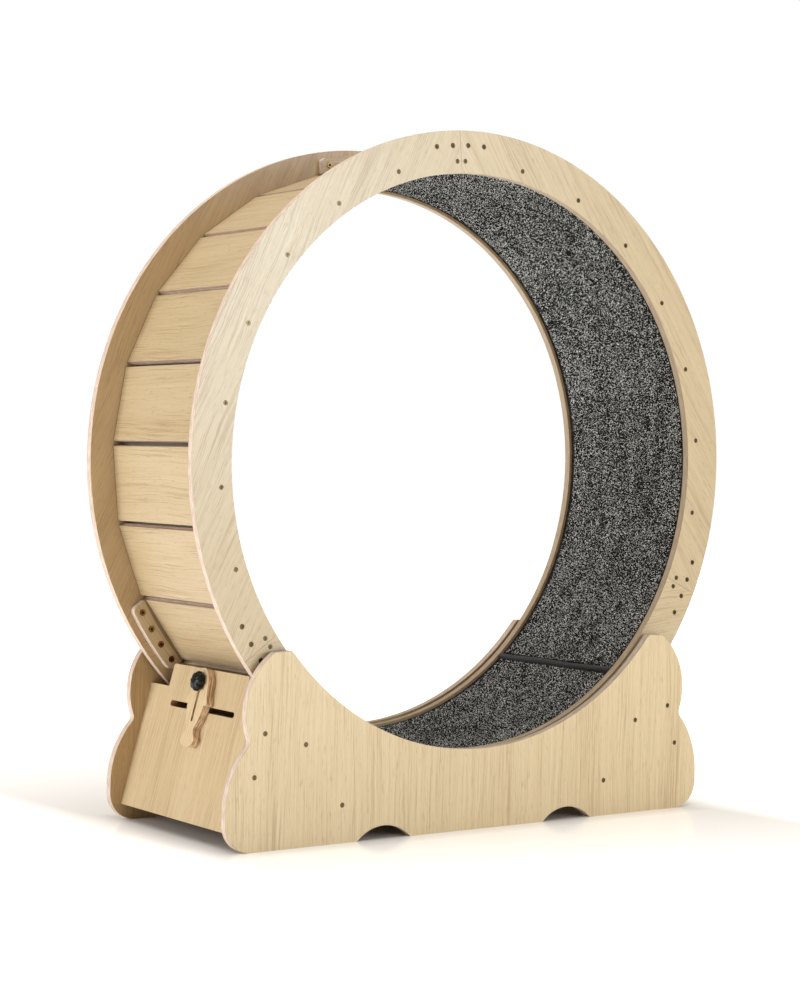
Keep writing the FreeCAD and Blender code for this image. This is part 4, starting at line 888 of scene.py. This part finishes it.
# ---------------------------------------------------------------------------
# Knob
# ---------------------------------------------------------------------------
KNOB_LOBES = 8
KNOB_RADIUS = 15.0 * MM
KNOB_LOBE_DEPTH = 2.6 * MM
KNOB_DIP = 1.6                         # how narrow the dips between the lobes are
SPOKES = KNOB_LOBES * 12
STUD_RADIUS = 2.5 * MM
STUD_SIDES = 24
STUD_OVERLAP = 0.5 * MM                # how far the stud reaches into the head
# Share of the knob's radius, share of its height, and how much of the lobes' depth is there
KNOB_PROFILE = (
    (0.70, 0.0, 0.2), (0.93, 0.06, 0.8), (0.99, 0.18, 1.0), (1.0, 0.36, 1.0), (0.985, 0.52, 1.0),
    (0.93, 0.66, 1.0), (0.84, 0.76, 0.85), (0.70, 0.85, 0.55), (0.55, 0.91, 0.25),
    (0.36, 0.965, 0.08), (0.18, 0.99, 0.0))


def band_faces(first, rings, sides):
    """Faces between neighbouring rings of points, counted from a first point."""
    faces = []
    for ring in range(rings - 1):
        for k in range(sides):
            a = first + ring * sides + k
            b = first + ring * sides + (k + 1) % sides
            faces.append((a, b, b + sides, a + sides))
    return faces


def knob_head(finish):
    """Star knob with rounded lobes and a low dome, on a stud through the lock plate."""
    centre = np.array(STUD)
    out = np.array(KNOB_OUT)
    up = np.array(LOCK_UP)
    side = np.cross(up, out)
    reach = (node_points("lock_knob") - centre) @ out
    bottom, top = reach.min(), reach.max()
    foot = ((node_points("lock_washer") - centre) @ out).max()

    def spot(level, radius, angle):
        """A point around the stud, at a level along it."""
        return (centre + out * level
                + side * (radius * math.cos(angle)) + up * (radius * math.sin(angle)))

    points = []
    for share, level, wavy in KNOB_PROFILE:
        for k in range(SPOKES):
            angle = 2 * math.pi * k / SPOKES
            dip = (0.5 - 0.5 * math.cos(KNOB_LOBES * angle)) ** KNOB_DIP
            radius = KNOB_RADIUS * share - KNOB_LOBE_DEPTH * wavy * dip
            points.append(spot(foot + (top - foot) * level, radius, angle))
    faces = band_faces(0, len(KNOB_PROFILE), SPOKES)
    last = (len(KNOB_PROFILE) - 1) * SPOKES
    crown = len(points)
    points.append(centre + out * top)
    faces += [(last + k, last + (k + 1) % SPOKES, crown) for k in range(SPOKES)]
    faces.append(tuple(range(SPOKES - 1, -1, -1)))
    base = len(points)
    for level in (bottom, foot + STUD_OVERLAP):
        for k in range(STUD_SIDES):
            points.append(spot(level, STUD_RADIUS, 2 * math.pi * k / STUD_SIDES))
    faces += band_faces(base, 2, STUD_SIDES)
    faces.append(tuple(range(base + STUD_SIDES - 1, base - 1, -1)))
    faces.append(tuple(range(base + STUD_SIDES, base + 2 * STUD_SIDES)))
    knob = mesh_object("lock_knob_head", [tuple(point) for point in points], faces)
    knob.data.materials.append(finish)
    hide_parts("lock_knob")
    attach(knob, "lock_knob")


# ---------------------------------------------------------------------------
# The scene
# ---------------------------------------------------------------------------
add_camera()
add_studio()

for name, finish in {**board_finishes(), **fitting_finishes()}.items():
    mesh = NODES[name].data
    mesh.materials.clear()
    mesh.materials.append(finish)

pile = carpet_pile(carpet_finish())
tape = bound_edge(binding_finish())
knob_head(plastic("knob_black", (0.005, 0.006, 0.005), 0.20, 900.0, gloss=0.22))
